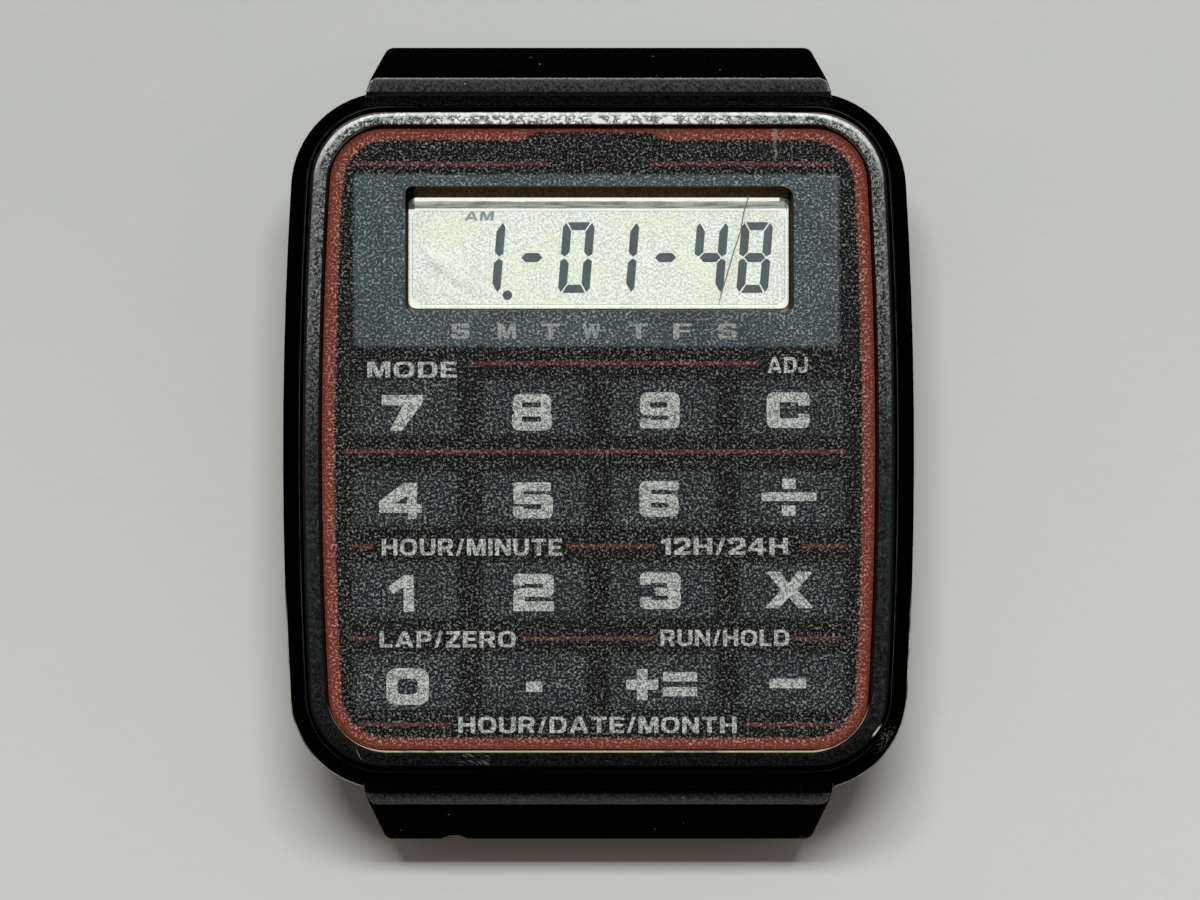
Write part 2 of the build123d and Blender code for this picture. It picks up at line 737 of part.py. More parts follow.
# The battery holder: a thick plate with a well for the cell and room for the board's parts
capacitor_room = capacitor_pitch * capacitor_count
with BuildPart() as battery_holder:
    with BuildSketch(Plane.XY.offset(holder_bottom)):
        add(module_outline(0))
    extrude(amount=holder_height)
    with BuildSketch(Plane.XY.offset(holder_bottom)):
        with Locations(battery_place):
            Circle(battery_radius + module_gap)
            with GridLocations(clamp_length - clamp_thickness, 0, 2, 1):
                Rectangle(clamp_thickness + 2 * slip_gap, clamp_width + 2 * slip_gap)
    extrude(amount=battery_height, mode=Mode.SUBTRACT)
    with BuildSketch(Plane.XY.offset(battery_top)):
        with Locations(battery_place):
            Circle(contact_window_radius)
    extrude(amount=main_board_bottom - battery_top, mode=Mode.SUBTRACT)
    with BuildSketch(Plane.XY.offset(holder_bottom)):
        with Locations(quartz_place):
            Rectangle(2 * (quartz_radius + module_gap), quartz_length + 2 * module_gap)
        with Locations(trimmer_place):
            Rectangle(trimmer_side + 2 * module_gap, trimmer_side + 2 * module_gap)
        with Locations(coil_place):
            Circle(coil_radius + module_gap)
        with Locations(spring_place):
            Circle(spring_radius + spring_wire_radius + module_gap)
        with Locations(*module_screw_places):
            Circle(module_screw_radius + module_gap)
    extrude(amount=holder_height, mode=Mode.SUBTRACT)
    with BuildSketch(Plane.XY.offset(main_board_bottom)):
        with Locations(chip_place):
            Rectangle(chip_side + 2 * module_gap, chip_side + 2 * module_gap)
        with Locations(capacitor_place):
            Rectangle(capacitor_length + 2 * module_gap, capacitor_room)
    extrude(amount=-chip_height - module_gap, mode=Mode.SUBTRACT)
    with BuildSketch(Plane.XY.offset(holder_bottom)):
        with Locations(*module_screw_places):
            Circle(module_screw_head_radius + module_gap)
    extrude(amount=module_screw_head_height, mode=Mode.SUBTRACT)
    with BuildSketch(Plane.XY.offset(back_thickness)):
        with Locations(*foot_places):
            Circle(foot_radius)
    extrude(amount=buzzer_room)
battery_holder.part.label = "battery_holder"
export_step(battery_holder.part, "parts/battery_holder.step")

# The cell: a can open towards the board, a sealing ring and the inner cap
cap_bottom = holder_bottom + battery_wall_thickness
with BuildPart() as battery_can:
    with Locations((*battery_place, holder_bottom)):
        Cylinder(battery_radius, battery_height - battery_crimp_drop, align=upwards)
    with Locations((*battery_place, cap_bottom)):
        Cylinder(battery_radius - battery_wall_thickness, battery_height, align=upwards, mode=Mode.SUBTRACT)
battery_can.part.label = "battery_can"
export_step(battery_can.part, "parts/battery_can.step")

with BuildPart() as battery_grommet:
    with BuildSketch(Plane.XY.offset(cap_bottom)):
        with Locations(battery_place):
            Circle(battery_radius - battery_wall_thickness)
            Circle(battery_cap_radius, mode=Mode.SUBTRACT)
    extrude(amount=battery_height - battery_wall_thickness - battery_crimp_drop / 2)
battery_grommet.part.label = "battery_grommet"
export_step(battery_grommet.part, "parts/battery_grommet.step")

with BuildPart() as battery_cap:
    with BuildSketch(Plane.XY.offset(cap_bottom)):
        with Locations(battery_place):
            Circle(battery_cap_radius)
    extrude(amount=battery_height - battery_wall_thickness)
battery_cap.part.label = "battery_cap"
export_step(battery_cap.part, "parts/battery_cap.step")

# The clamp that holds the cell in, with a leg at each end
with BuildPart() as battery_clamp:
    with BuildSketch(Plane.XY.offset(holder_bottom - clamp_thickness)):
        with Locations(battery_place):
            Rectangle(clamp_length, clamp_width)
    extrude(amount=clamp_thickness)
    with BuildSketch(Plane.XY.offset(holder_bottom)):
        with Locations(battery_place):
            with GridLocations(clamp_length - clamp_thickness, 0, 2, 1):
                Rectangle(clamp_thickness, clamp_width)
    extrude(amount=clamp_leg_height)
battery_clamp.part.label = "battery_clamp"
export_step(battery_clamp.part, "parts/battery_clamp.step")

# The contact on the cell's cap: a strip under the board, bent down to a flat toe
with BuildPart() as battery_contact:
    contact_left = battery_place[0] - contact_length / 2
    contact_right = battery_place[0] + contact_length / 2
    with BuildSketch(Plane.XZ.offset(-battery_place[1])):
        with BuildLine():
            Polyline(
                (contact_left, main_board_bottom),
                (battery_place[0], main_board_bottom),
                (battery_place[0] + contact_thickness, main_board_bottom - contact_thickness),
                (battery_place[0] + 2 * contact_thickness, battery_top + contact_thickness),
                (contact_right, battery_top + contact_thickness),
                (contact_right, battery_top),
                (battery_place[0] + contact_thickness, battery_top),
                (battery_place[0], main_board_bottom - contact_thickness),
                (contact_left, main_board_bottom - contact_thickness),
                close=True,
            )
        make_face()
    extrude(amount=contact_width / 2, both=True)
battery_contact.part.label = "battery_contact"
export_step(battery_contact.part, "parts/battery_contact.step")

# The module's screws, which join holder, board and frame from behind
with BuildPart() as module_screws:
    with BuildSketch(Plane.XY.offset(holder_bottom)):
        with Locations(*module_screw_places):
            Circle(module_screw_head_radius)
    extrude(amount=module_screw_head_height)
    with BuildSketch(Plane.XY.offset(holder_bottom)):
        with Locations(*module_screw_places):
            Circle(module_screw_radius)
    extrude(amount=frame_bottom - holder_bottom + module_screw_bite)
    with BuildSketch(Plane.XY.offset(holder_bottom)):
        with Locations(*module_screw_places):
            Rectangle(2 * module_screw_head_radius, screw_slot_width)
    extrude(amount=screw_slot_depth, mode=Mode.SUBTRACT)
module_screws.part.label = "module_screws"
export_step(module_screws.part, "parts/module_screws.step")

# The buzzer: a brass plate on the case back, its ceramic disc and the contact spring
with BuildPart() as buzzer_plate:
    with BuildSketch(Plane.XY.offset(back_thickness)):
        with Locations(buzzer_place):
            Circle(buzzer_plate_radius)
    extrude(amount=buzzer_plate_thickness)
buzzer_plate.part.label = "buzzer_plate"
export_step(buzzer_plate.part, "parts/buzzer_plate.step")

ceramic_bottom = back_thickness + buzzer_plate_thickness
with BuildPart() as buzzer_ceramic:
    with BuildSketch(Plane.XY.offset(ceramic_bottom)):
        with Locations(buzzer_place):
            Circle(buzzer_ceramic_radius)
    extrude(amount=buzzer_ceramic_thickness)
buzzer_ceramic.part.label = "buzzer_ceramic"
export_step(buzzer_ceramic.part, "parts/buzzer_ceramic.step")

spring_bottom = ceramic_bottom + buzzer_ceramic_thickness + spring_wire_radius
spring_height = main_board_bottom - spring_wire_radius - spring_bottom
with BuildPart() as buzzer_spring:
    with BuildLine() as spring_path:
        Helix(
            spring_height / spring_turns,
            spring_height,
            spring_radius,
            center=(*spring_place, spring_bottom),
        )
    with BuildSketch(Plane(origin=spring_path.line @ 0, z_dir=spring_path.line % 0)):
        Circle(spring_wire_radius)
    sweep(path=spring_path.line, is_frenet=True)
buzzer_spring.part.label = "buzzer_spring"
export_step(buzzer_spring.part, "parts/buzzer_spring.step")

# The case back, its gasket and its four corner screws
with BuildPart() as case_back:
    back_out = back_recess_out - slip_gap
    with BuildSketch(Plane.XY):
        add(barrel(back_out, back_out))
    extrude(amount=back_thickness)
    chamfer(case_back.faces().sort_by(Axis.Z)[0].edges(), back_edge_bevel)
    with BuildSketch(Plane.XY):
        with Locations(*back_screw_places):
            Circle(back_screw_head_radius + slip_gap)
    extrude(amount=back_screw_head_height + slip_gap, mode=Mode.SUBTRACT)
    with BuildSketch(Plane.XY):
        with Locations(*back_screw_places):
            Circle(back_screw_radius + slip_gap)
    extrude(amount=back_thickness, mode=Mode.SUBTRACT)
case_back.part.label = "case_back"
export_step(case_back.part, "parts/case_back.step")

with BuildPart() as back_gasket:
    with BuildSketch(Plane.XY.offset(back_thickness)):
        add(module_outline(module_gap + gasket_inset + gasket_width))
        add(module_outline(module_gap + gasket_inset), mode=Mode.SUBTRACT)
    extrude(amount=gasket_thickness)
back_gasket.part.label = "back_gasket"
export_step(back_gasket.part, "parts/back_gasket.step")

with BuildPart() as back_screws:
    with BuildSketch(Plane.XY.offset(slip_gap)):
        with Locations(*back_screw_places):
            Circle(back_screw_head_radius)
    extrude(amount=back_screw_head_height)
    with BuildSketch(Plane.XY.offset(slip_gap)):
        with Locations(*back_screw_places):
            Circle(back_screw_radius)
    extrude(amount=back_screw_length)
    with BuildSketch(Plane.XY.offset(slip_gap)):
        with Locations(*back_screw_places):
            Rectangle(2 * back_screw_head_radius, screw_slot_width)
            Rectangle(screw_slot_width, 2 * back_screw_head_radius)
    extrude(amount=screw_slot_depth, mode=Mode.SUBTRACT)
back_screws.part.label = "back_screws"
export_step(back_screws.part, "parts/back_screws.step")
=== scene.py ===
import json
from math import atan2, cos, pi, radians, sin, sqrt, tan
import bmesh
import bpy
from mathutils import Matrix, Vector


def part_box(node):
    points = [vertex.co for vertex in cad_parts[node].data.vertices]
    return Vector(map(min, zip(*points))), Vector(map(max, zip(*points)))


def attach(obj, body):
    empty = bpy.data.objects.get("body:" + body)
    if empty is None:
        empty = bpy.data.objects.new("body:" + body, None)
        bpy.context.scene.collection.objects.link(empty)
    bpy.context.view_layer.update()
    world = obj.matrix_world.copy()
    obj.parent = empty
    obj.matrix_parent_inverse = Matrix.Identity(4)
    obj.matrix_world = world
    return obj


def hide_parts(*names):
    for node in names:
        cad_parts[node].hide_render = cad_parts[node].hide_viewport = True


# The finish of a calculator watch head. Sizes in named values are millimetres on the watch;
# meshes are scaled to metres when they are made. X is right, Y is twelve o'clock, Z is out of the face.
MM = 0.001

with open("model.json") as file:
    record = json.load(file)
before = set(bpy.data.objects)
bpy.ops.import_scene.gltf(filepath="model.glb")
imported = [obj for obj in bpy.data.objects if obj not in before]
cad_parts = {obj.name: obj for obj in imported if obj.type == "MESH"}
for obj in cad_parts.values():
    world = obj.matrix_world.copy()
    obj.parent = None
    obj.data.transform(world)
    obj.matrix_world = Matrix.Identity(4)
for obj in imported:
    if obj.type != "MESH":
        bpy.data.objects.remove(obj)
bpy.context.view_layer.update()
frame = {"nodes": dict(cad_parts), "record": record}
nodes = frame["nodes"]


def span(node):
    """A carried node's lowest and highest corners, in millimetres."""
    low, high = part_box(node)
    return low / MM, high / MM


# Places read from the frame
film_low, film_high = span("face_overlay")
crystal_low, crystal_high = span("window_crystal")
polariser_top = span("lcd_front_polariser")[1].z
ring_bottom = span("bezel_ring")[0].z
film_bottom = film_low.z
film_top = film_high.z
key_boxes = {name: span(name) for name in nodes if name.startswith("key_")}
row_pitch = (key_boxes["key_7"][0].y - key_boxes["key_0"][0].y) / 3
column_pitch = key_boxes["key_8"][0].x - key_boxes["key_7"][0].x
keypad_middle_y = (key_boxes["key_7"][1].y + key_boxes["key_0"][0].y) / 2

# The film's outline: straight ends, bulging sides and rounded corners
face_half_width = film_high.x
face_half_height = film_high.y
side_radius = 243.0
corner_radius = 3.0

# The display's window in the film: a little wider to the right, with one broad corner at the top right
window_half_width = 10.55
window_right = 10.65
window_low_y = 6.94
window_high_y = 13.76
window_corner = 0.45
window_broad_corner = 0.8
window_middle_y = (window_low_y + window_high_y) / 2

# The slate surround printed round the window
surround_x = -0.1
surround_y = 9.69
surround_half_width = 13.22
surround_half_height = 4.7
surround_corner = 0.2

# The brick border: its width along the ends and the sides, and where it runs thinner at the top
border_end_width = 0.64
border_side_width = 0.71
border_thinning = 0.42
border_thin_middle = -0.33
border_thin_half_width = 4.0

# The satin ledge on each lug: its stretch along the watch, its levels and its leaning side
ledge_start = 18.9
ledge_end = 20.06
ledge_low = 5.5
ledge_high = 6.26
ledge_half_width = 12.8
ledge_lean = 0.3425
ledge_lean_from = 19.28
ledge_corner = 0.35

# The fine rules printed on the film: each height, and the stretches along it
rule_half_height = 0.09
rules = (
    (14.97, ((-13.25, -2.75), (2.8, 12.7))),
    (4.08, ((-6.99, 8.7),)),
    (-0.73, ((-13.79, 13.41),)),
    (-5.87, ((-13.41, -12.27), (-1.66, 2.91), (11.07, 13.41))),
    (-10.88, ((-13.52, -12.16), (-4.05, 3.13), (10.69, 13.25))),
    (-15.56, ((-12.97, -8.08), (7.97, 12.97))),
)


# Letters and small figures, in shares of their height: a width, then outlines of (x, y, radius)
letter_gap_share = 0.14
sharp_share = 0.03
letters = {
    "/": (0.44, [[(0, 0), (0.17, 0), (0.44, 1), (0.27, 1)]]),
    "A": (0.95, [[(0, 0), (0.23, 0), (0.29, 0.19), (0.66, 0.19), (0.72, 0), (0.95, 0), (0.6, 1),
                  (0.35, 1)],
                 [(0.35, 0.37), (0.6, 0.37), (0.475, 0.76)]]),
    "D": (0.83, [[(0, 0), (0.83, 0, 0.4), (0.83, 1, 0.4), (0, 1)],
                 [(0.22, 0.18), (0.61, 0.18, 0.22), (0.61, 0.82, 0.22), (0.22, 0.82)]]),
    "E": (0.7, [[(0, 0), (0.7, 0), (0.7, 0.19), (0.22, 0.19), (0.22, 0.41), (0.64, 0.41), (0.64, 0.59),
                 (0.22, 0.59), (0.22, 0.81), (0.69, 0.81), (0.69, 1), (0, 1)]]),
    "F": (0.66, [[(0, 0), (0.22, 0), (0.22, 0.4), (0.6, 0.4), (0.6, 0.58), (0.22, 0.58), (0.22, 0.81),
                  (0.66, 0.81), (0.66, 1), (0, 1)]]),
    "H": (0.82, [[(0, 0), (0.22, 0), (0.22, 0.41), (0.6, 0.41), (0.6, 0), (0.82, 0), (0.82, 1), (0.6, 1),
                  (0.6, 0.6), (0.22, 0.6), (0.22, 1), (0, 1)]]),
    "I": (0.22, [[(0, 0), (0.22, 0), (0.22, 1), (0, 1)]]),
    "J": (0.62, [[(0.4, 1), (0.62, 1), (0.62, 0, 0.32), (0, 0, 0.32), (0, 0.35), (0.21, 0.35),
                  (0.21, 0.18, 0.1), (0.4, 0.18, 0.1)]]),
    "L": (0.65, [[(0, 0), (0.65, 0), (0.65, 0.19), (0.22, 0.19), (0.22, 1), (0, 1)]]),
    "M": (0.98, [[(0, 0), (0.21, 0), (0.21, 0.66), (0.39, 0), (0.59, 0), (0.77, 0.66), (0.77, 0),
                  (0.98, 0), (0.98, 1), (0.68, 1), (0.49, 0.36), (0.3, 1), (0, 1)]]),
    "N": (0.82, [[(0, 0), (0.21, 0), (0.21, 0.64), (0.6, 0), (0.82, 0), (0.82, 1), (0.61, 1),
                  (0.61, 0.37), (0.22, 1), (0, 1)]]),
    "O": (0.9, [[(0, 0, 0.44), (0.9, 0, 0.44), (0.9, 1, 0.44), (0, 1, 0.44)],
                [(0.22, 0.18, 0.22), (0.68, 0.18, 0.22), (0.68, 0.82, 0.22), (0.22, 0.82, 0.22)]]),
    "P": (0.76, [[(0, 0), (0.22, 0), (0.22, 0.35), (0.76, 0.35, 0.32), (0.76, 1, 0.32), (0, 1)],
                 [(0.22, 0.53), (0.54, 0.53, 0.13), (0.54, 0.82, 0.13), (0.22, 0.82)]]),
    "R": (0.81, [[(0, 0), (0.22, 0), (0.22, 0.38), (0.42, 0.38), (0.57, 0), (0.81, 0), (0.62, 0.41),
                  (0.78, 0.48, 0.1), (0.78, 1, 0.32), (0, 1)],
                 [(0.22, 0.55), (0.56, 0.55, 0.12), (0.56, 0.82, 0.12), (0.22, 0.82)]]),
    "S": (0.79, [[(0, 0, 0.3), (0.79, 0, 0.3), (0.79, 0.59, 0.28), (0.22, 0.59, 0.08),
                  (0.22, 0.82, 0.08), (0.56, 0.82, 0.08), (0.56, 0.7), (0.77, 0.7), (0.77, 1, 0.3),
                  (0, 1, 0.3), (0, 0.41, 0.28), (0.57, 0.41, 0.08), (0.57, 0.18, 0.08),
                  (0.21, 0.18, 0.08), (0.21, 0.31), (0, 0.31)]]),
    "T": (0.76, [[(0.27, 0), (0.49, 0), (0.49, 0.81), (0.76, 0.81), (0.76, 1), (0, 1), (0, 0.81),
                  (0.27, 0.81)]]),
    "U": (0.82, [[(0, 0, 0.36), (0.82, 0, 0.36), (0.82, 1), (0.6, 1), (0.6, 0.18, 0.16),
                  (0.22, 0.18, 0.16), (0.22, 1), (0, 1)]]),
    "W": (1.22, [[(0.24, 0), (0.46, 0), (0.61, 0.62), (0.76, 0), (0.98, 0), (1.22, 1), (0.99, 1),
                  (0.86, 0.38), (0.71, 1), (0.51, 1), (0.36, 0.38), (0.23, 1), (0, 1)]]),
    "Z": (0.74, [[(0, 0), (0.74, 0), (0.74, 0.19), (0.28, 0.19), (0.74, 0.8), (0.74, 1), (0.03, 1),
                  (0.03, 0.81), (0.46, 0.81), (0, 0.2)]]),
    "1": (0.42, [[(0.2, 0), (0.42, 0), (0.42, 1), (0.27, 1), (0, 0.82), (0, 0.62), (0.2, 0.74)]]),
    "2": (0.73, [[(0, 0), (0.73, 0), (0.73, 0.19), (0.31, 0.19), (0.73, 0.52, 0.1), (0.73, 1, 0.32),
                  (0, 1, 0.32), (0, 0.65), (0.21, 0.65), (0.21, 0.82, 0.1), (0.51, 0.82, 0.1),
                  (0.51, 0.59, 0.05), (0, 0.2, 0.05)]]),
    "4": (0.78, [[(0.42, 0), (0.63, 0), (0.63, 0.21), (0.78, 0.21), (0.78, 0.39), (0.63, 0.39),
                  (0.63, 1), (0.39, 1), (0, 0.4), (0, 0.21), (0.42, 0.21)],
                 [(0.42, 0.39), (0.2, 0.39), (0.42, 0.74)]]),
}


# Flat shapes. A rounded corner takes no more than this share of each side beside it
corner_share = 0.48
# Points of a filled curve that are nearer than this are one point
same_point = 0.002


def rounded(points, steps=5):
    """A closed outline with its corners rounded. Each point is (x, y, radius)."""
    outline = []
    count = len(points)
    for i, (x, y, radius) in enumerate(points):
        here = Vector((x, y))
        before = Vector(points[i - 1][:2]) - here
        after = Vector(points[(i + 1) % count][:2]) - here
        turn = before.angle(after)
        if radius == 0:
            outline.append((x, y))
            continue
        reach = min(radius / tan(turn / 2), before.length * corner_share, after.length * corner_share)
        start = here + before.normalized() * reach
        end = here + after.normalized() * reach
        for step in range(steps + 1):
            t = step / steps
            point = start * (1 - t) ** 2 + here * 2 * t * (1 - t) + end * t**2
            outline.append((point.x, point.y))
    return outline


def rectangle(x0, y0, x1, y1, radius=0.0):
    """A rectangle's outline with rounded corners."""
    return rounded([(x0, y0, radius), (x1, y0, radius), (x1, y1, radius), (x0, y1, radius)])


def barrel(steps=24):
    """The film's outline, from one quarter of it."""
    # The side's arc and the end's line are both tangent to the corner's circle
    centre_y = face_half_height - corner_radius
    centre_x = sqrt((side_radius - corner_radius) ** 2 - centre_y**2) - (side_radius - face_half_width)
    lean = atan2(centre_y, centre_x + side_radius - face_half_width)
    quarter = []
    for step in range(steps // 2 + 1):
        angle = lean * step / (steps // 2)
        x = side_radius * cos(angle) - side_radius + face_half_width
        quarter.append((x, side_radius * sin(angle)))
    for step in range(1, steps + 1):
        angle = lean + (pi / 2 - lean) * step / steps
        quarter.append((centre_x + corner_radius * cos(angle), centre_y + corner_radius * sin(angle)))
    right = [(x, -y) for x, y in reversed(quarter[1:])] + quarter
    return right + [(-x, -y) for x, y in right]


def circle(x, y, radius, steps=32):
    """A circle's outline."""
    angles = [2 * pi * i / steps for i in range(steps)]
    return [(x + radius * cos(angle), y + radius * sin(angle)) for angle in angles]


def close_up(mesh):
    """Merges a mesh's doubled points and turns its faces outwards."""
    shape = bmesh.new()
    shape.from_mesh(mesh)
    bmesh.ops.remove_doubles(shape, verts=shape.verts, dist=same_point)
    bmesh.ops.dissolve_degenerate(shape, edges=shape.edges, dist=same_point)
    bmesh.ops.recalc_face_normals(shape, faces=shape.faces)
    shape.to_mesh(mesh)
    shape.free()


def piece(name, mesh, finish, body="watch_head", replaced=()):
    """Shows a mesh as one piece of the watch, riding on a body."""
    mesh.name = name
    mesh.materials.clear()
    mesh.materials.append(finish)
    obj = bpy.data.objects.new(name, mesh)
    bpy.context.scene.collection.objects.link(obj)
    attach(obj, body)
    if replaced:
        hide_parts(*replaced)


def plate(name, outlines, low, high):
    """A flat plate's mesh between two levels, filled between its outlines."""
    curve = bpy.data.curves.new(name, "CURVE")
    curve.dimensions = "2D"
    curve.fill_mode = "BOTH"
    curve.extrude = (high - low) / 2
    for outline in outlines:
        spline = curve.splines.new("POLY")
        spline.points.add(len(outline) - 1)
        for point, (x, y) in zip(spline.points, outline):
            point.co = (x, y, 0, 1)
        spline.use_cyclic_u = True
    maker = bpy.data.objects.new(name, curve)
    bpy.context.scene.collection.objects.link(maker)
    bpy.context.view_layer.update()
    mesh = bpy.data.meshes.new_from_object(maker)
    bpy.data.objects.remove(maker)
    close_up(mesh)
    mesh.transform(Matrix.Translation((0, 0, low + curve.extrude)))
    mesh.transform(Matrix.Scale(MM, 4))
    bpy.data.curves.remove(curve)
    return mesh


def letter_outlines(words, box, slant=0.0):
    """The outlines of a line of letters that fills a box of (left, bottom, right, top)."""
    left, bottom, right, top = box
    width = sum(letters[letter][0] for letter in words) + letter_gap_share * (len(words) - 1)
    across = (right - left) / width
    tall = top - bottom
    outlines = []
    for letter in words:
        letter_width, shapes = letters[letter]
        for shape in shapes:
            corners = []
            for x, y, *radius in shape:
                share = radius[0] if radius else sharp_share
                corners.append((left + (x + y * slant) * across, bottom + y * tall, share * tall))
            outlines.append(rounded(corners, 3))
        left += (letter_width + letter_gap_share) * across
    return outlines


def layered(rings):
    """A closed mesh through rings of (outline, level), each with as many points as the next."""
    shape = bmesh.new()
    loops = []
    for outline, level in rings:
        loops.append([shape.verts.new((x * MM, y * MM, level * MM)) for x, y in outline])
    for lower, upper in zip(loops, loops[1:]):
        count = len(lower)
        for i in range(count):
            j = (i + 1) % count
            shape.faces.new((lower[i], lower[j], upper[j], upper[i]))
    shape.faces.new(list(reversed(loops[0])))
    shape.faces.new(loops[-1])
    bmesh.ops.recalc_face_normals(shape, faces=shape.faces)
    mesh = bpy.data.meshes.new("layered")
    shape.to_mesh(mesh)
    shape.free()
    return mesh


# Finishes. The colour sockets of a Mix node, by their places
mix_first = 6
mix_second = 7
mix_result = 2


def tone(red, green, blue):
    """A colour given by its display values of 0 to 255, as a shader takes it."""
    linear = []
    for value in (red, green, blue):
        share = value / 255
        linear.append(((share + 0.055) / 1.055) ** 2.4 if value > 10 else share / 12.92)
    return (*linear, 1.0)


class Signal:
    """A number or a colour in a finish's nodes. Sums and products of signals add the nodes for them."""

    def __init__(self, finish, socket):
        self.finish = finish
        self.socket = socket

    def __add__(self, other):
        return self.finish.math("ADD", self, other)

    def __sub__(self, other):
        return self.finish.math("SUBTRACT", self, other)

    def __rsub__(self, other):
        return self.finish.math("SUBTRACT", other, self)

    def __mul__(self, other):
        return self.finish.math("MULTIPLY", self, other)

    def __abs__(self):
        return self.finish.math("ABSOLUTE", self)


class Finish:
    """One material. Its patterns read the piece's own coordinates, in millimetres."""

    def __init__(self, name, specular=0.5, metallic=0.0):
        self.material = bpy.data.materials.new(name)
        self.material.use_nodes = True
        self.tree = self.material.node_tree
        self.tree.nodes.clear()
        self.output = self.tree.nodes.new("ShaderNodeOutputMaterial")
        self.shader = self.tree.nodes.new("ShaderNodeBsdfPrincipled")
        self.tree.links.new(self.shader.outputs["BSDF"], self.output.inputs["Surface"])
        self.shader.inputs["Specular IOR Level"].default_value = specular
        self.shader.inputs["Metallic"].default_value = metallic
        coordinates = self.tree.nodes.new("ShaderNodeTexCoord")
        scaled = self.node("ShaderNodeVectorMath", operation="SCALE")
        self.put(scaled.inputs[0], coordinates.outputs["Object"])
        scaled.inputs["Scale"].default_value = 1 / MM
        self.place = scaled.outputs["Vector"]
        axes = self.node("ShaderNodeSeparateXYZ")
        self.put(axes.inputs[0], self.place)
        self.x, self.y, self.z = (Signal(self, axis) for axis in axes.outputs)

    def node(self, kind, **settings):
        """A new node with its settings."""
        made = self.tree.nodes.new(kind)
        for name, value in settings.items():
            setattr(made, name, value)
        return made

    def put(self, socket, value):
        """Sets a socket to a plain value, or links it to a signal."""
        if isinstance(value, Signal):
            value = value.socket
        if isinstance(value, bpy.types.NodeSocket):
            self.tree.links.new(value, socket)
        else:
            socket.default_value = value

    def math(self, operation, *values):
        """A Math node's result."""
        made = self.node("ShaderNodeMath", operation=operation)
        for socket, value in zip(made.inputs, values):
            self.put(socket, value)
        return Signal(self, made.outputs[0])

    def ramp(self, value, start, end, low=0.0, high=1.0):
        """A smooth step from low, at start, to high, at end."""
        made = self.node("ShaderNodeMapRange", interpolation_type="SMOOTHSTEP")
        for name, number in (
            ("Value", value),
            ("From Min", start),
            ("From Max", end),
            ("To Min", low),
            ("To Max", high),
        ):
            self.put(made.inputs[name], number)
        return Signal(self, made.outputs["Result"])

    def noise(self, size, detail=1.0, roughness=0.5, stretch=(1, 1, 1), turn=0.0, shift=0.0):
        """A soft noise whose grains are about the given size."""
        mapping = self.node("ShaderNodeMapping", vector_type="TEXTURE")
        self.put(mapping.inputs["Vector"], self.place)
        mapping.inputs["Location"].default_value = (shift, shift, shift)
        mapping.inputs["Rotation"].default_value = (0, 0, radians(turn))
        mapping.inputs["Scale"].default_value = [size * side for side in stretch]
        made = self.node("ShaderNodeTexNoise")
        self.put(made.inputs["Vector"], mapping.outputs["Vector"])
        made.inputs["Scale"].default_value = 1.0
        made.inputs["Detail"].default_value = detail
        made.inputs["Roughness"].default_value = roughness
        return Signal(self, made.outputs["Fac"])

    def blend(self, amount, first, second):
        """A colour that goes from the first to the second."""
        made = self.node("ShaderNodeMix", data_type="RGBA")
        self.put(made.inputs["Factor"], amount)
        self.put(made.inputs[mix_first], first)
        self.put(made.inputs[mix_second], second)
        return Signal(self, made.outputs[mix_result])

    def set(self, name, value):
        """Sets or links one of the shader's own sockets."""
        self.put(self.shader.inputs[name], value)

    def bump(self, height, depth):
        """Raises the surface by up to a depth where the height is 1."""
        made = self.node("ShaderNodeBump")
        self.put(made.inputs["Height"], height)
        made.inputs["Distance"].default_value = depth * MM
        made.inputs["Strength"].default_value = 1.0
        self.put(self.shader.inputs["Normal"], made.outputs["Normal"])

    def rounded_box(self, x, y, half_width, half_height, radius):
        """The distance out from a rounded box round the origin of x and y."""
        across = abs(x) - (half_width - radius)
        along = abs(y) - (half_height - radius)
        outer_x = self.math("MAXIMUM", across, 0.0)
        outer_y = self.math("MAXIMUM", along, 0.0)
        corner = self.math("SQRT", outer_x * outer_x + outer_y * outer_y)
        inner = self.math("MINIMUM", self.math("MAXIMUM", across, along), 0.0)
        return corner + inner - radius


def film_grain(finish):
    """The film's coarse speckle: short wandering strokes, 1 along their middles."""
    wander = abs(finish.noise(0.18, detail=1.2, stretch=(1.2, 0.9, 1)) - 0.5)
    crossing = abs(finish.noise(0.15, detail=1, shift=13) - 0.5)
    strokes = finish.math("MAXIMUM", finish.ramp(wander, 0.08, 0), finish.ramp(crossing, 0.05, 0))
    return strokes * finish.ramp(finish.noise(0.15, shift=7), 0.46, 0.6)


